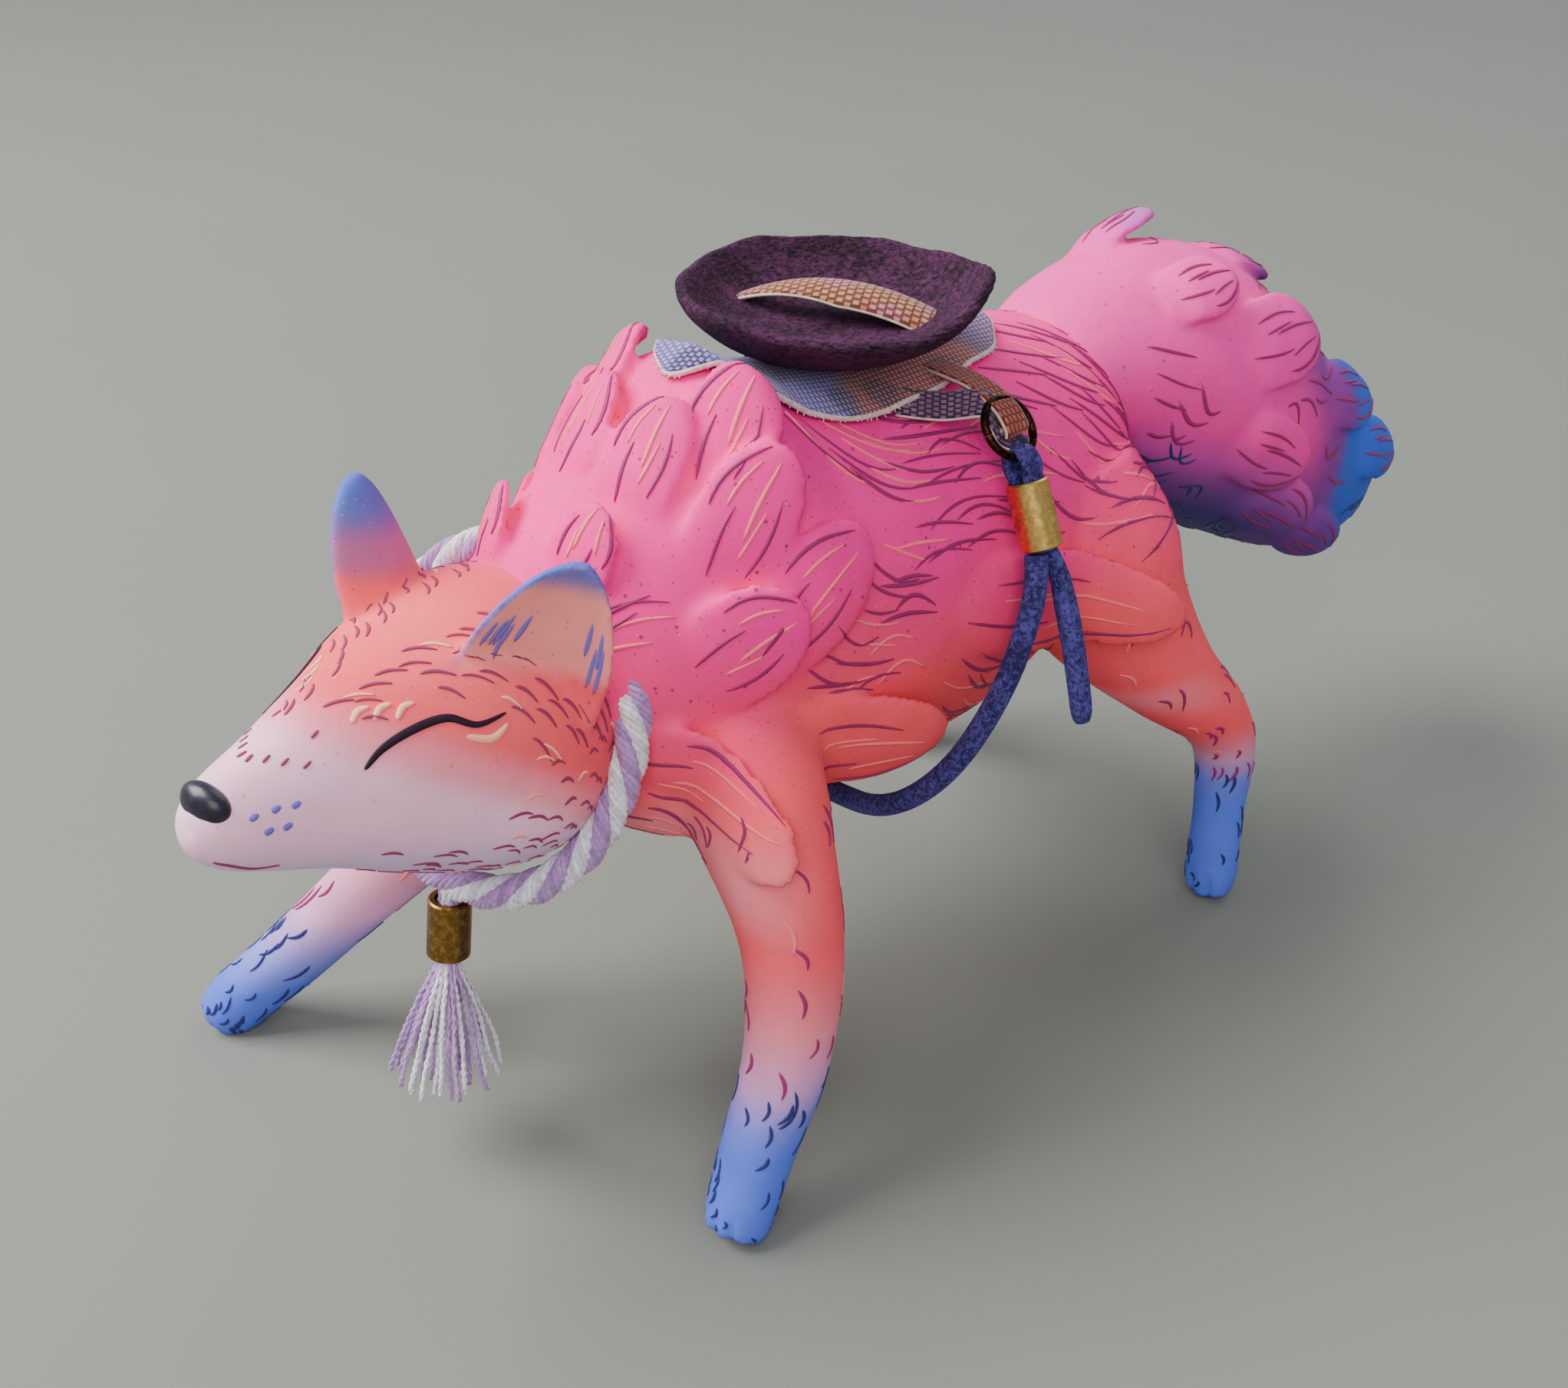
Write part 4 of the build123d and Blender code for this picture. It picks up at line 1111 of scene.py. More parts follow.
class FOX_OT_nose(bpy.types.Operator):
    """Satin nose: an ellipsoid that widens upwards by 1 + 0.32 up, with a dent for each nostril"""

    bl_idname = "fox.nose"
    bl_label = "Nose"

    def execute(self, context):
        rows, columns = 36, 40
        tilt = np.linspace(0.02, math.pi - 0.02, rows)[:, None]
        turn = round_angles(columns)
        across, up = np.sin(tilt) * np.cos(turn), np.sin(tilt) * np.sin(turn)
        ahead = np.cos(tilt) + 0 * turn
        width = 2.75 * (1 + 0.32 * up)
        nostril = np.exp(-((np.abs(across) - 0.55) / 0.16) ** 2 - ((up + 0.25) / 0.16) ** 2) * (ahead > 0)
        local = np.stack((40.2 + 1.9 * ahead - 0.35 * nostril + 0.5 * up, across * width,
                          -0.7 + 2.65 * up - 0.5 * (1 - np.abs(across)) * (up < 0) * np.abs(up)), -1)
        piece = grids_object("nose_satin", [in_head(local)])
        material, tree, shader = new_material("nose_satin", roughness=0.36, specular=0.45, coat=0.15)
        grain = noise(tree, object_place(tree), 1100.0, 3.0)
        color = blend_color(tree, ramp(tree, grain, 0.35, 0.65), tuple(linear((0.07, 0.05, 0.12))),
                            tuple(linear((0.13, 0.11, 0.20))))
        tree.links.new(color, shader.inputs["Base Color"])
        bump(tree, shader, grain, 0.3, 0.0001)
        finish_piece(piece, material, "figure", "nose_gloss", "nose")
        return {"FINISHED"}


class FOX_OT_fur(bpy.types.Operator):
    """Painted fur strokes on the body, tufts, legs and tail"""

    bl_idname = "fox.fur"
    bl_label = "Fur strokes"

    def execute(self, context):
        settings = context.scene.fox
        colors = settings.colors
        rng = np.random.default_rng(RNG_SEED)
        plum = flat_paint_material("plum_paint", colors.plum)
        cream = flat_paint_material("cream_paint", colors.cream, 0.6)
        navy = flat_paint_material("navy_paint", colors.navy)
        skin = bpy.data.objects["coat_skin"]
        tufts = with_mirror(COAT_TUFTS) + MIDLINE_TUFTS
        dark, pale = tuft_strokes(tufts, torso_centre, (TORSO, *LIMBS.values()), rng)
        self.body_strokes(rng, settings.clay.strokes, tufts, dark, pale)
        deep = []
        for name, stations in LIMBS.items():
            self.leg_strokes(rng, stations, dark, pale, deep, front=name.startswith("front"))
        strokes_object("coat_plum_strokes", dark, skin, plum, "clay_coat")
        strokes_object("coat_cream_strokes", pale, skin, cream, "clay_coat", lift=0.03)
        strokes_object("paw_navy_strokes", deep, skin, navy, "clay_leg")
        dark, pale = tuft_strokes(TAIL_TUFTS, tail_centre, (TAIL,), rng)
        shade = []
        self.tail_strokes(rng, dark, shade)
        tail = bpy.data.objects["tail_skin"]
        strokes_object("tail_plum_strokes", dark + pale, tail, plum, "clay_tail")
        strokes_object("tail_navy_strokes", shade, tail, navy, "clay_tail")
        return {"FINISHED"}

    @staticmethod
    def body_strokes(rng, count, tufts, dark, pale):
        """Strokes flowing from the neck to the tail on a staggered grid, parallel to their neighbours.

        Their slope and bend are slow waves of the place, so that they sweep in locks.
        """
        columns = int(math.sqrt(count / 1.1))
        rows = count // columns
        for index in range(rows * columns):
            row, column = divmod(index, columns)
            start = 1.2 + 8.6 * (column + 0.5 * (row % 2) + rng.uniform(-0.25, 0.25)) / columns
            around = 2 * math.pi * (row + rng.uniform(-0.3, 0.3)) / rows
            side = 1 if math.cos(around) > 0 else -1
            x = float(np.interp(start, np.arange(len(TORSO)), TORSO[:, 0]))
            lift = math.sin(around)
            sway = math.sin(x / 8.5 + 2.2 * lift) * 0.16
            slope = -side * (0.14 + 0.12 * lift - sway + rng.uniform(-0.04, 0.04))
            bend = side * (0.07 * math.sin(x / 6.0 + 3 * lift) + rng.uniform(-0.02, 0.02))
            scale = float(np.interp(start, (0, 4, 5, 9.9), (0.9, 0.45, 0.75, 0.8)))
            path, normal = flowing(torso_surface, start, around, scale * rng.uniform(0.7, 1.25), slope, bend)
            middle = path[len(path) // 2]
            if near_tuft(middle, tufts) or middle[2] > 79 and abs(middle[1]) < 11 and abs(middle[0]) < 23:
                continue
            if middle[2] < 34 and rng.random() < 0.6:
                continue
            if rng.random() < 0.74:
                dark.append(ribbon(path, rng.uniform(0.24, 0.46), normal))
            else:
                pale.append(ribbon(path, rng.uniform(0.24, 0.40), normal))

    @staticmethod
    def leg_strokes(rng, stations, dark, pale, deep, front):
        """Short dashes down a leg, anywhere round it: navy on the blue, plum and a few cream above."""
        for _ in range(105):
            start = rng.uniform(1.6, len(stations) - 1.6)
            angle = rng.uniform(-math.pi, math.pi)
            length = -rng.uniform(0.16, 0.34)
            path, normal = flowing(partial(limb_surface, stations), start, angle, length,
                                   rng.uniform(-0.25, 0.25), 0.1)
            stroke = ribbon(path, rng.uniform(0.26, 0.44), normal)
            if path[:, 2].mean() < (17 if front else 20):
                deep.append(stroke)
            elif rng.random() < 0.84:
                dark.append(stroke)
            else:
                pale.append(stroke)

    @staticmethod
    def tail_strokes(rng, dark, shade):
        """Curved strokes along the tail, navy on its violet underside and tip."""
        for _ in range(420):
            start = rng.uniform(1.0, 6.4)
            angle = rng.uniform(-math.pi, math.pi)
            path, normal = flowing(partial(limb_surface, TAIL), start, angle,
                                   -rng.uniform(0.22, 0.5), 0.2 * math.sin(2 * angle + start),
                                   0.12 * math.sin(3 * start))
            if near_tuft(path[4], TAIL_TUFTS):
                continue
            low = tail_line_near(path[4])[2] - path[4][2]
            target = shade if low > 6 or path[4][0] < -86 else dark
            target.append(ribbon(path, rng.uniform(0.28, 0.52), normal))


class FOX_OT_face(bpy.types.Operator):
    """Closed eyes, mouth, whisker dots and the face's strokes"""

    bl_idname = "fox.face"
    bl_label = "Face"

    def execute(self, context):
        rng = np.random.default_rng(RNG_SEED + 1)
        skin = bpy.data.objects["head_skin"]
        ink = flat_paint_material("ink_paint", (0.13, 0.03, 0.12), 0.4, 0.05)
        dots = flat_paint_material("periwinkle_paint", (0.44, 0.42, 0.78))
        cream = flat_paint_material("face_cream_paint", (1.0, 0.70, 0.58), 0.6)
        rose = flat_paint_material("rose_paint", (0.58, 0.20, 0.36), 0.55)
        eyes, pale, marks, whiskers = [], [], [], []
        for side in (1, -1):
            self.eye(side, eyes, pale)
            self.mouth(side, marks)
            self.whiskers(side, whiskers)
            self.ear_strokes(rng, side, whiskers)
            self.fur(rng, side, marks, pale)
        strokes_object("eye_lines", eyes, skin, ink, "clay_face", thick=0.16)
        strokes_object("face_rose_strokes", marks, skin, rose, "clay_face")
        strokes_object("face_cream_strokes", pale, skin, cream, "clay_face")
        strokes_object("face_blue_strokes", whiskers, skin, dots, "clay_face")
        return {"FINISHED"}

    @staticmethod
    def on_head(points, side):
        """A path through (x, y, z) points in the head's axes, on the named side, and its normals."""
        points = np.array(points, float) * (1, side, 1)
        t = np.linspace(0, len(points) - 1, 7 * len(points))
        local = along(points, t)
        centre = local * (1, 0, 0) + (0, 0, -1)
        return in_head(local), unit(in_head(local) - in_head(centre))

    def eye(self, side, eyes, pale):
        """A downward arc from the inner corner up over the eye to its outer flick."""
        line, normal = self.on_head([(28.0, 7.0, 3.5), (26.0, 7.0, 5.3), (22.8, 7.7, 7.0),
                                     (19.8, 8.9, 8.0), (17.3, 10.7, 7.5), (14.3, 11.5, 8.5)], side)
        eyes.append(ribbon(line, 0.85, normal))
        accent, normal = self.on_head([(18.6, 10.7, 6.5), (16.2, 11.9, 6.3), (14.4, 12.1, 7.6)], side)
        pale.append(ribbon(accent, 0.75, normal))
        for x, y, z in ((27.4, 3.9, 7.0), (25.6, 5.0, 7.4), (23.8, 6.2, 7.6)):
            dab, normal = self.on_head([(x, y, z), (x - 0.9, y - 0.3, z + 1.0), (x - 2.0, y, z + 1.3)], side)
            pale.append(ribbon(dab, 0.65, normal))

    def mouth(self, side, marks):
        """A thin line back from under the nose."""
        line, normal = self.on_head([(40.4, 1.9, -4.9), (39.0, 2.8, -5.5), (36.5, 3.3, -6.3),
                                     (34.3, 4.2, -6.1)], side)
        marks.append(ribbon(line, 0.36, normal))

    def whiskers(self, side, dots):
        """Five dots beside the nose."""
        for x, y, z in ((38.3, 4.0, -0.2), (36.3, 4.6, 0.4), (34.5, 5.3, 0.7), (37.0, 4.8, -1.6),
                        (35.3, 5.4, -1.3)):
            dot, normal = self.on_head([(x + 0.42, y, z - 0.2), (x - 0.42, y + 0.1, z + 0.25)], side)
            dots.append(ribbon(dot, 0.62, normal))

    @staticmethod
    def ear_strokes(rng, side, dots):
        """Strokes fanning from the ear's edges towards its tip."""
        base, rise, chord = ear_lines(side)
        face = ear_facing(side)
        for q in (-0.8, -0.66, -0.5, 0.4, 0.56, 0.7, 0.82, -0.74, 0.64):
            low = rng.uniform(0.25, 0.55)
            s = np.linspace(low, low + rng.uniform(0.16, 0.28), 8)
            local = (base + rise * (s * EAR_REACH - EAR_ROOT)[:, None]
                     + chord * (q * ear_half(s))[:, None] + face)
            dots.append(ribbon(in_head(local), 0.42, np.tile(face @ HEAD_AXES, (8, 1))))

    @staticmethod
    def fur(rng, side, marks, pale):
        """Dashes back over the forehead, temple, cheek and jaw, sparse on the muzzle."""
        for index in range(17 * 15):
            row, column = divmod(index, 17)
            x = 0.5 + 32.0 * (column + 0.5 * (row % 2) + rng.uniform(-0.3, 0.3)) / 17
            lift = -1.35 + 2.9 * (row + rng.uniform(-0.35, 0.35)) / 15
            bare = x > 14.5 and -0.55 < lift < 0.95 or x > 25 and lift < 1.0
            if bare or x > 21 and rng.random() < 0.5 or rng.random() < 0.12:
                continue
            start = np.interp(x, HEAD[:, 0], np.arange(len(HEAD)))
            angle = lift if side > 0 else math.pi - lift
            sweep = -0.16 if lift > 0.3 else 0.04 * math.sin(x)
            path, normal = flowing(head_surface, start, angle, rng.uniform(0.20, 0.34),
                                   side * (sweep + rng.uniform(-0.03, 0.03)), side * 0.03)
            if rng.random() < 0.82:
                marks.append(ribbon(path, rng.uniform(0.20, 0.34), normal))
            else:
                pale.append(ribbon(path, rng.uniform(0.24, 0.36), normal))
        for x, y, z in ((36.5, 0.6, 3.8), (35.4, 1.7, 3.9), (34.2, 2.9, 3.8), (32.6, 4.2, 3.7),
                        (30.6, 2.6, 5.6)):
            path, normal = FOX_OT_face.on_head([(x + 0.5, y, z), (x - 0.5, y - 0.2, z + 0.4)], side)
            marks.append(ribbon(path, 0.3, normal))


class FOX_OT_collar(bpy.types.Operator):
    """Four-strand cotton rope in an oval round the neck, seven yarns to a strand, white and lilac in turn"""

    bl_idname = "fox.collar"
    bl_label = "Rope collar"

    def execute(self, context):
        trim = context.scene.fox.trim
        radius = trim.rope_radius / MM
        lean = math.radians(7.5)
        up = HEAD_AXES[2] * math.cos(lean) - HEAD_AXES[0] * math.sin(lean)
        turn = round_angles(420)
        path = HEAD_AT + HEAD_AXES[1] * (17.6 * np.sin(turn))[:, None] - up * (19.4 * np.cos(turn))[:, None]
        grids, colors = [], []
        shades = cotton_shades(trim)
        strands = twisted(path, 4, radius * 0.50, trim.rope_pitch / MM, closed=True)
        for index, strand in enumerate(strands):
            for number, yarn in enumerate(twisted(strand, 7, radius * 0.36, 5.6, closed=True)):
                grids.append(thread(yarn, radius * 0.185, 6, ring=True))
                tone = shades[index % 2] * (0.86 + 0.14 * math.sin(number * 2.1 + index))
                colors.append(np.tile(tone, (grids[-1][..., 0].size, 1)))
        yarn_piece("collar_rope", grids, np.concatenate(colors), "cotton_rope", "rope", "collar_cord",
                   kind="ring")
        return {"FINISHED"}


class FOX_OT_tassel(bpy.types.Operator):
    """The rope's two ends through the tube, frayed into two-ply yarns that spread below it

    A yarn hangs at a turn and a spread of its own, and from 11.6 mm down it moves out by the spread
    times below^0.8, with a slow wave.
    """

    bl_idname = "fox.tassel"
    bl_label = "Tassel"

    def execute(self, context):
        trim = context.scene.fox.trim
        rng = np.random.default_rng(RNG_SEED + 2)
        lean = math.radians(8)
        down, ahead = np.array(((math.sin(lean), 0, -math.cos(lean)), (math.cos(lean), 0, math.sin(lean))))
        left = np.array((0, 1.0, 0))
        foot = np.array((55.961, -3.725, 35.310))
        grids, colors = [], []
        shades = cotton_shades(trim)
        t = np.linspace(0, 1, 30)
        for index in range(trim.yarns):
            spin = index * STEP_OF_TURN
            spread = math.sqrt((index + 0.5) / trim.yarns)
            length = 25.4 - 2.2 * rng.random() - 1.0 * spread
            depth = 1.0 + (length + 2.45 - 1.0) * t
            below = np.clip((depth - 11.6) / 14.5, 0, 1)
            out = 1.18 * spread + (5.2 * spread + 0.6) * below ** 0.8
            wave = 0.5 * below * np.sin(below * rng.uniform(5, 9) + rng.uniform(0, 6))
            path = (foot + down * depth[:, None]
                    + ahead * (math.cos(spin) * out + wave)[:, None]
                    + left * (math.sin(spin) * out + 0.7 * wave)[:, None])
            shade = shades[int(rng.random() < 0.5)]
            for ply in twisted(path, 2, 0.17, 1.5, phase=rng.uniform(0, 6)):
                grids.append(thread(ply, 0.20, 5))
                colors.append(np.tile(shade * rng.uniform(0.85, 1.0), (grids[-1][..., 0].size, 1)))
        yarn_piece("tassel_yarns", grids, np.concatenate(colors), "cotton_yarn", "rope", "tassel",
                   body="tassel")
        return {"FINISHED"}


class FOX_OT_saddle(bpy.types.Operator):
    """Woven saddle cloth, felt dish and the woven strap that arches inside it"""

    bl_idname = "fox.saddle"
    bl_label = "Saddle"

    def execute(self, context):
        self.cloth()
        self.dish(context.scene.fox.trim)
        self.strap()
        return {"FINISHED"}

    @staticmethod
    def cloth_color(x, y):
        """Periwinkle in front, rust in the middle and mauve behind, each in two shades."""
        x, y = x.ravel(), y.ravel()
        patch = np.sin(x * 0.55 + 1.0) * np.sin(y * 0.5 + 0.4)
        front = mixed(np.tile((0.52, 0.48, 0.80), (x.size, 1)), (0.26, 0.26, 0.50), smooth(0.25, 0.7, patch))
        rust = mixed(np.tile((0.78, 0.36, 0.22), (x.size, 1)), (0.50, 0.22, 0.24), smooth(0.1, 0.6, -patch))
        back = mixed(rust, (0.52, 0.38, 0.56), smooth(-12, -18, x + 0.2 * y))
        return mixed(front, back, smooth(8, 3, x - 0.35 * (y - 8)))

    def cloth(self):
        """An oval, 25 by 10.6 mm from its middle, laid on the back: z is the torso's top plus 0.75 mm.

        Its outline is 1 + 0.02 sin(5 a + 1) + 0.012 sin(11 a), and ripples lift its edge.
        """
        rows, columns = 60, 160
        share = np.linspace(0.001, 1, rows)[:, None]
        angle = np.linspace(0, 2 * math.pi, columns)
        # The last of the three colours is the painted shade in the gaps of the weave.
        weave = woven_material("woven_cloth", ((0.74, 0.70, 0.90), (0.90, 0.72, 0.78), (0.62, 0.54, 0.66)))
        wobble = 1 + 0.02 * np.sin(5 * angle + 1) + 0.012 * np.sin(11 * angle)
        x = 25.0 * share * np.cos(angle) * wobble
        y = 10.6 * share * np.sin(angle) * wobble
        ripple = 0.35 * share ** 6 * (1 + np.sin(4 * angle + 0.6) + 0.4 * np.sin(9 * angle))
        z = torso_top(x, y) + 0.75 + ripple
        grid = np.stack((x, y, z), -1)
        flat = np.stack((x, y * 1.18), -1)
        piece = cloth_mesh("saddle_cloth_weave", grid, flat, self.cloth_color(x, y))
        settle(piece, WELD={"merge_threshold": 0.00001},
               SOLIDIFY={"thickness": 0.0008, "offset": 0.0, "use_rim": True})
        turn_outward(piece)
        finish_piece(piece, weave, "figure", "woven_cloth", "saddle_cloth")
        fringe = self.fringe(grid[-1])
        length, width = 0.0510, 0.0230
        area = min(cloth_area(grid) * MM ** 2, 0.99 * length * width)

    @staticmethod
    def fringe(rim):
        """Cream threads frayed along the cloth's edge, two from each step of the rim, over a bound hem."""
        rng = np.random.default_rng(RNG_SEED + 3)
        grids = []
        centre = rim.mean(axis=0)
        for index in range(len(rim) - 1):
            for _ in range(2):
                start = rim[index] + (rim[index + 1] - rim[index]) * rng.random()
                out = unit((start - centre) * (1, 1, 0))
                along_rim = unit(rim[index + 1] - rim[index])
                reach = rng.uniform(0.25, 0.7)
                t = np.linspace(-0.4, 1, 5)[:, None]
                path = (start + out * reach * t + along_rim * rng.uniform(-0.3, 0.3) * t
                        + np.array((0, 0, 1)) * (rng.uniform(-0.25, 0.3) - 0.25 * t) * t)
                grids.append(thread(path, 0.075, 4))
        grids.append(thread(rim[:-1] + (0, 0, 0.02), 0.36, 8))
        return yarn_piece("saddle_cloth_fringe", grids, linear((0.86, 0.76, 0.74)), "frayed_thread",
                          "woven_cloth")

    @staticmethod
    def dish(trim):
        """Felt shaped to a dish: a profile of (radius, height) turned round, its rim thrown out of true.

        Above 86 mm a corner is drawn up by 2 mm at 127 degrees, a lip is pressed down at 62, and the
        rest waves by 0.35 sin(3 a + 0.4) + 0.22 sin(7 a + 1.2) + 0.12 sin(13 a).
        """
        radius = trim.dish_radius / MM
        profile = np.array([(0.0, 83.6), (5.0, 83.7), (9.5, 84.8), (13.4, 86.6), (16.1, 88.9), (17.4, 90.7),
                            (17.5, 91.6), (16.8, 92.0), (16.0, 91.4), (14.6, 89.9), (12.4, 88.4),
                            (9.5, 87.3), (6.0, 86.8), (0.0, 86.7)])
        rows, columns = 90, 220
        t = np.linspace(0, len(profile) - 1, rows)
        section = along(profile, t)
        angle = round_angles(columns)
        r = np.clip(section[:, 0], 0.05, None)[:, None] * radius / 17.3
        height = section[:, 1][:, None]
        rise = smooth(86, 92, height)
        corner = np.exp(-((np.angle(np.exp(1j * (angle - math.radians(127))))) / 0.30) ** 2)
        lip = np.exp(-((np.angle(np.exp(1j * (angle - math.radians(62))))) / 0.75) ** 2)
        wave = 0.35 * np.sin(3 * angle + 0.4) + 0.22 * np.sin(7 * angle + 1.2) + 0.12 * np.sin(13 * angle)
        r = r + rise * (0.7 * corner + 0.6 * lip + 0.35 * wave)
        height = height + rise * (2.0 * corner - 1.2 * lip + 0.7 * wave)
        rough = 0.10 * np.sin(47 * angle + 9 * t[:, None]) * np.sin(3.1 * t[:, None] + 5 * angle)
        x, y = 0.5 + (r + rough) * np.cos(angle), (r + rough) * np.sin(angle)
        grid = np.stack((x, y, np.maximum(height + 0.5 * rough, 83.4)), -1)
        piece = grids_object("saddle_dish_felt", [grid])
        felt = fibre_material("felt", np.array(tuple(trim.felt)) * 0.55, (0.30, 0.14, 0.27), (1, 1, 2.2),
                              1300.0, 0.0005)
        finish_piece(piece, felt, "figure", "felt", "saddle_dish")

    @staticmethod
    def strap():
        """A leaf of webbing on a quadratic arch from end to end of the dish's floor, pointed in front."""
        t = np.linspace(0, 1, 60)[:, None]
        across = np.linspace(-1, 1, 15)
        start, end = np.array((4.5, -13.2, 87.2)), np.array((-8.0, 9.8, 87.6))
        middle = np.array((-1.2, -1.6, 94.2))
        line = (1 - t) ** 2 * start + 2 * t * (1 - t) * middle + t ** 2 * end
        run = unit(end - start)
        side = unit(np.cross(run, (0, 0, 1)))
        half = 3.1 * np.clip(0.06 + 1.7 * t, 0, 1) ** 0.8
        grid = line[:, None] + side * (half * across)[..., None] - np.array((0, 0, 1)) * (
            0.5 * (half * across) ** 2 / 3.1)[..., None]
        flat = np.stack(np.broadcast_arrays(half * across, 24 * t), -1)
        x = flat[..., 0]
        color = mixed(np.tile((0.62, 0.40, 0.28), (x.size, 1)), (0.66, 0.38, 0.48),
                      smooth(0.1, 0.7, np.sin(flat[..., 1].ravel() * 0.6) * np.cos(x.ravel())))
        piece = cloth_mesh("dish_strap_weave", grid, flat, color)
        thicken(piece, 0.7)
        # The last of the three colours is the painted shade in the gaps of the weave.
        weave = woven_material("woven_strap", ((0.86, 0.66, 0.50), (0.80, 0.46, 0.40), (0.55, 0.28, 0.22)))
        finish_piece(piece, weave, "figure", "woven_strap", "dish_strap")
        edges = [thread(grid[:, column], 0.22, 6) for column in (0, -1)]
        yarn_piece("dish_strap_edges", edges, linear((0.88, 0.78, 0.66)), "strap_edge", "woven_strap")


def cloth_area(grid):
    """Area of a grid's quads."""
    first, second = grid[1:, 1:] - grid[:-1, :-1], grid[1:, :-1] - grid[:-1, 1:]
    return 0.5 * np.linalg.norm(np.cross(first, second), axis=-1).sum()


class FOX_OT_hangers(bpy.types.Operator):
    """Woven straps folded over the rings at both flanks, 3.5 mm wide along smooth routes"""

    bl_idname = "fox.hangers"
    bl_label = "Ring straps"

    def execute(self, context):
        # The last of the three colours is the painted shade in the gaps of the weave.
        rust = woven_material("rust_strap", ((0.85, 0.50, 0.42), (0.72, 0.26, 0.18), (0.55, 0.24, 0.16)))
        for side, label in ((1, "left"), (-1, "right")):
            over = [(-9.4, 7.0, 81.3), (-9.3, 10.5, 81.2), (-9.1, 14.4, 80.9), (-8.8, 18.3, 79.6),
                    (-8.6, 20.3, 78.0), (-8.6, 20.5, 77.0)]
            under = [(-8.6, 20.5, 77.0), (-8.5, 19.4, 76.2), (-8.2, 18.4, 77.6), (-7.0, 16.9, 79.9),
                     (-4.2, 12.8, 79.3), (-0.5, 9.4, 79.9)]
            edges = []
            for name, route, color, nodes in (("over", over, (0.62, 0.26, 0.20), [f"hanger_{label}"]),
                                              ("under", under, (0.28, 0.28, 0.52), [])):
                route = np.array(route, float) * (1, side, 1)
                line = along(route, np.linspace(0, len(route) - 1, 36))
                run = unit(np.gradient(line, axis=0))
                across = unit(np.cross(run, np.array((0, side * 0.75, 0.66)))) * side
                q = 1.75 * np.linspace(-1, 1, 9)
                grid = line[:, None] + across[:, None] * q[None, :, None]
                gone = np.concatenate(((0,), np.cumsum(np.linalg.norm(np.diff(line, axis=0), axis=1))))
                flat = np.stack(np.broadcast_arrays(q[None, :], gone[:, None]), -1)
                piece = cloth_mesh(f"hanger_{name}_{label}", grid, flat, color)
                thicken(piece, 0.7)
                finish_piece(piece, rust, "figure", "woven_strap", *nodes)
                edges += [thread(grid[:, column], 0.20, 6) for column in (0, -1)]
            yarn_piece(f"hanger_edges_{label}", edges, linear((0.84, 0.74, 0.70)), f"hanger_edge_{label}",
                       "woven_strap")
        return {"FINISHED"}


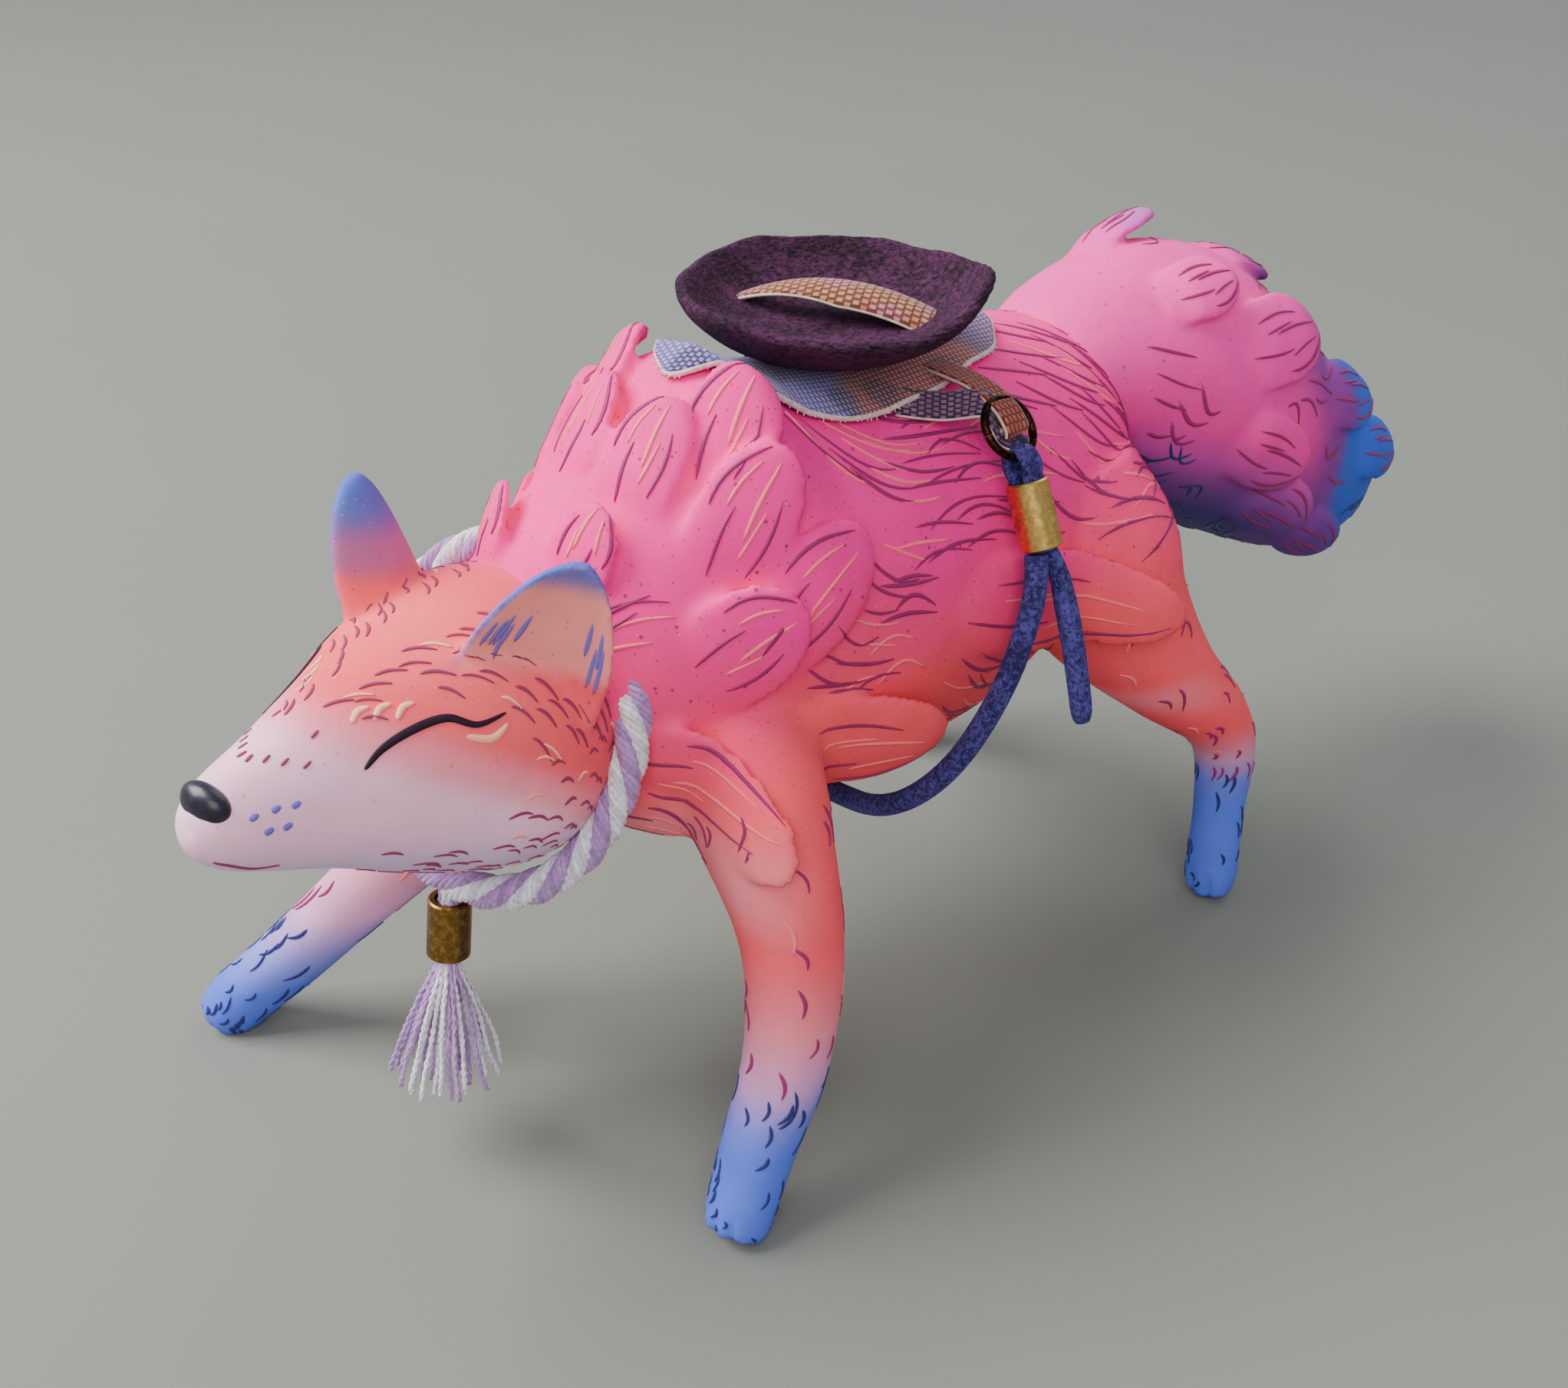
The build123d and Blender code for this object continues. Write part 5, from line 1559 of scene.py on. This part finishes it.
class FOX_OT_lace(bpy.types.Operator):
    """Suede lace: a loop over each ring, the girth under the belly and the short free end"""

    bl_idname = "fox.lace"
    bl_label = "Suede lace"

    def execute(self, context):
        suede = fibre_material("suede", np.array(tuple(context.scene.fox.trim.suede)) * 0.62,
                               (0.33, 0.30, 0.60), (1, 1, 1), 1700.0, 0.0003)
        for side, label in ((1, "left"), (-1, "right")):
            self.loop(side, label, suede)
        self.girth(suede)
        self.free_end(suede)
        return {"FINISHED"}

    @staticmethod
    def loop(side, label, suede):
        """The lace doubled over the ring's lower edge, both legs down through the tube."""
        down, out = LACE_DOWN, LACE_OUT
        top = np.array((-8.6, 22.4, 71.9))
        route = np.array([top + down * 8.2 + out * 1.0, top + down * 4 + out * 1.0, top + out * 1.05,
                          top - down * 1.6 + out * 1.45, top - down * 3.0 + out * 1.0,
                          top - down * 3.6 - out * 0.1, top - down * 3.0 - out * 1.3,
                          top - down * 1.4 - out * 1.5, top - out * 1.05, top + down * 4 - out * 1.0,
                          top + down * 8.2 - out * 1.0]) * (1, side, 1)
        line = along(route, np.linspace(0, len(route) - 1, 90))
        run = unit(np.gradient(line, axis=0))
        thick = unit(np.cross(run, FORWARD))
        height = (line - top * (1, side, 1)) @ (-down * (1, side, 1))
        wide = np.interp(height, (-0.6, 1.4), (1.55, 1.45))[:, None, None]
        grid = squared_tube(line, FORWARD, wide, thick[:, None], 0.62, 0.45)
        piece = grids_object(f"lace_loop_{label}_suede", [grid])
        finish_piece(piece, suede, "figure", "suede", f"lace_loop_{label}")

    @staticmethod
    def girth(suede):
        """The long end, from the left tube round under the belly to the right tube."""
        half = [(-7.3, 25.58, 64.02), (-7.0, 26.3, 61.6), (-5.4, 26.9, 57.0), (-1.2, 27.0, 48.6),
                (4.2, 24.2, 38.6), (5.6, 15.6, 29.8), (4.4, 5.0, 27.2)]
        route = np.array(half + [(x, -y, z) for x, y, z in reversed(half)])
        route = (route - FOOTPRINT) * MM
        curve = bpy.data.curves.new("girth_lace_suede", "CURVE")
        curve.dimensions = "3D"
        curve.bevel_depth = 0.00138
        curve.bevel_resolution = 6
        curve.resolution_u = 12
        curve.use_fill_caps = True
        spline = curve.splines.new("NURBS")
        spline.points.add(len(route) - 1)
        spline.points.foreach_set("co", np.concatenate((route, np.ones((len(route), 1))), 1).ravel())
        spline.order_u = 3
        spline.use_endpoint_u = True
        piece = bpy.data.objects.new("girth_lace_suede", curve)
        bpy.context.scene.collection.objects.link(piece)
        finish_piece(piece, suede, "figure", "suede", "girth_lace")
        tuple(route[0])

    @staticmethod
    def free_end(suede):
        """The short end below the tube, flattening to 3 mm wide and narrowing at its cut end."""
        mouth = np.array((-8.6, 25.397, 64.483))
        t = np.linspace(0, 1, 50)
        line = (mouth + LACE_DOWN * (-0.4 + 21.8 * t)[:, None]
                + LACE_OUT * (0.35 * np.sin(np.pi * t))[:, None]
                + FORWARD * np.interp(t, (0, 0.2, 0.55, 1), (-1.0, -1.55, -1.0, 0.1))[:, None])
        wide = np.interp(t, (0, 0.1, 0.35, 0.9, 0.97, 1), (0.8, 1.1, 1.45, 1.4, 1.2, 0.75))[:, None, None]
        thick = np.interp(t, (0, 0.1, 0.4, 0.95, 1), (0.6, 0.9, 1.15, 1.1, 0.8))[:, None, None]
        piece = grids_object("lace_end_suede", [squared_tube(line, FORWARD, wide, LACE_OUT, thick, 0.35)])
        finish_piece(piece, suede, "lace_end", "suede", "lace_end")


class FOX_OT_metal(bpy.types.Operator):
    """Finishes for the brass tubes, bronze rings, wires and foil"""

    bl_idname = "fox.metal"
    bl_label = "Metal"

    def execute(self, context):
        brass = np.array(tuple(context.scene.fox.trim.brass))
        bright = metal_material("brass", brass * 0.84, brass, 0.34, 0.10)
        aged = metal_material("aged_brass", (0.50, 0.36, 0.18), (0.68, 0.52, 0.29), 0.34, 0.25)
        bronze = metal_material("dark_bronze", (0.12, 0.07, 0.05), (0.34, 0.20, 0.13), 0.34)
        wire = metal_material("armature_wire", (0.60, 0.60, 0.62), (0.80, 0.80, 0.82), 0.35)
        foil = metal_material("crumpled_foil", (0.55, 0.55, 0.58), (0.86, 0.86, 0.88), 0.28)
        for word, material in (("collar_bead", aged), ("girth_bead", bright), ("jump_ring", bronze),
                               ("_wire", wire), ("foil_core", foil)):
            for name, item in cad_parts.items():
                if word in name:
                    dress(item, material)
        return {"FINISHED"}


def dress(item, material):
    """Put one material in every slot of a CAD node."""
    if not item.data.materials:
        item.data.materials.append(material)
    for index in range(len(item.data.materials)):
        item.data.materials[index] = material


class FOX_OT_stage(bpy.types.Operator):
    """Grey-green seamless floor, soft daylight from the upper left, and the camera"""

    bl_idname = "fox.stage"
    bl_label = "Floor, light and camera"

    def execute(self, context):
        scene = context.scene
        material, tree, shader = new_material("backdrop_paper", roughness=0.75, specular=0.2)
        place = object_place(tree)
        grain, clouds = noise(tree, place, 900.0, 2.0), noise(tree, place, 9.0, 2.0)
        color = blend_color(tree, clouds, tuple(linear((0.465, 0.475, 0.445))),
                            tuple(linear((0.485, 0.495, 0.465))))
        tree.links.new(color, shader.inputs["Base Color"])
        bump(tree, shader, grain, 0.05, 0.0001)
        reach = 2.0
        mesh = bpy.data.meshes.new("floor")
        mesh.from_pydata([(-reach, -reach, 0), (reach, -reach, 0), (reach, reach, 0), (-reach, reach, 0)],
                         [], [(0, 1, 2, 3)])
        floor = bpy.data.objects.new("floor", mesh)
        mesh.materials.append(material)
        scene.collection.objects.link(floor)
        world = bpy.data.worlds.new("soft_room")
        scene.world = world
        world.use_nodes = True
        world.node_tree.nodes["Background"].inputs[0].default_value = (0.86, 0.93, 1.0, 1)
        world.node_tree.nodes["Background"].inputs[1].default_value = 0.55
        target = Vector((0.0, 0.0, 0.05))
        for name, place, size, power, color in (
                ("window", (0.46, -0.52, 0.80), 0.7, 23.0, (1.0, 0.99, 0.975)),
                ("front_fill", (0.75, 0.75, 0.80), 0.9, 9.5, (1.0, 0.98, 0.965)),
                ("back_fill", (-0.80, -0.20, 0.80), 0.8, 3.0, (0.94, 0.97, 1.0))):
            light = bpy.data.lights.new(name, "AREA")
            light.size, light.energy, light.color = size, power, color
            lamp = bpy.data.objects.new(name, light)
            lamp.location = place
            lamp.rotation_euler = (target - Vector(place)).to_track_quat("-Z", "Y").to_euler()
            scene.collection.objects.link(lamp)
        lens = bpy.data.cameras.new("camera")
        lens.lens, lens.sensor_width = 42.27, 36
        camera = bpy.data.objects.new("camera", lens)
        camera.location = (0.15058, 0.14496, 0.15858)
        camera.rotation_euler = Vector((-0.5954, -0.6166, -0.5150)).to_track_quat("-Z", "Y").to_euler()
        scene.collection.objects.link(camera)
        scene.camera = camera
        return {"FINISHED"}


STEPS = (FOX_OT_stage, FOX_OT_coat, FOX_OT_head, FOX_OT_tail, FOX_OT_nose, FOX_OT_fur, FOX_OT_face,
         FOX_OT_collar, FOX_OT_tassel, FOX_OT_saddle, FOX_OT_hangers, FOX_OT_lace, FOX_OT_metal)


class FOX_PT_panel(bpy.types.Panel):
    """Sizes, colours and the steps in order"""

    bl_idname = "FOX_PT_panel"
    bl_label = "Clay Fox"
    bl_space_type = "VIEW_3D"
    bl_region_type = "UI"
    bl_category = "Clay Fox"

    def draw(self, context):
        for group in (context.scene.fox.colors, context.scene.fox.clay, context.scene.fox.trim):
            box = self.layout.box()
            for key in type(group).__annotations__:
                box.prop(group, key)
        for step in STEPS:
            self.layout.operator(step.bl_idname)


CLASSES = (FoxColors, FoxClay, FoxTrim, FoxSettings, *STEPS, FOX_PT_panel)


def register():
    for item in CLASSES:
        bpy.utils.register_class(item)
    bpy.types.Scene.fox = PointerProperty(type=FoxSettings)


def unregister():
    del bpy.types.Scene.fox
    for item in reversed(CLASSES):
        bpy.utils.unregister_class(item)


def main():
    """Register and build every piece in order."""
    register()
    for step in STEPS:
        area, name = step.bl_idname.split(".")
        getattr(getattr(bpy.ops, area), name)()


if __name__ == "__main__":
    main()
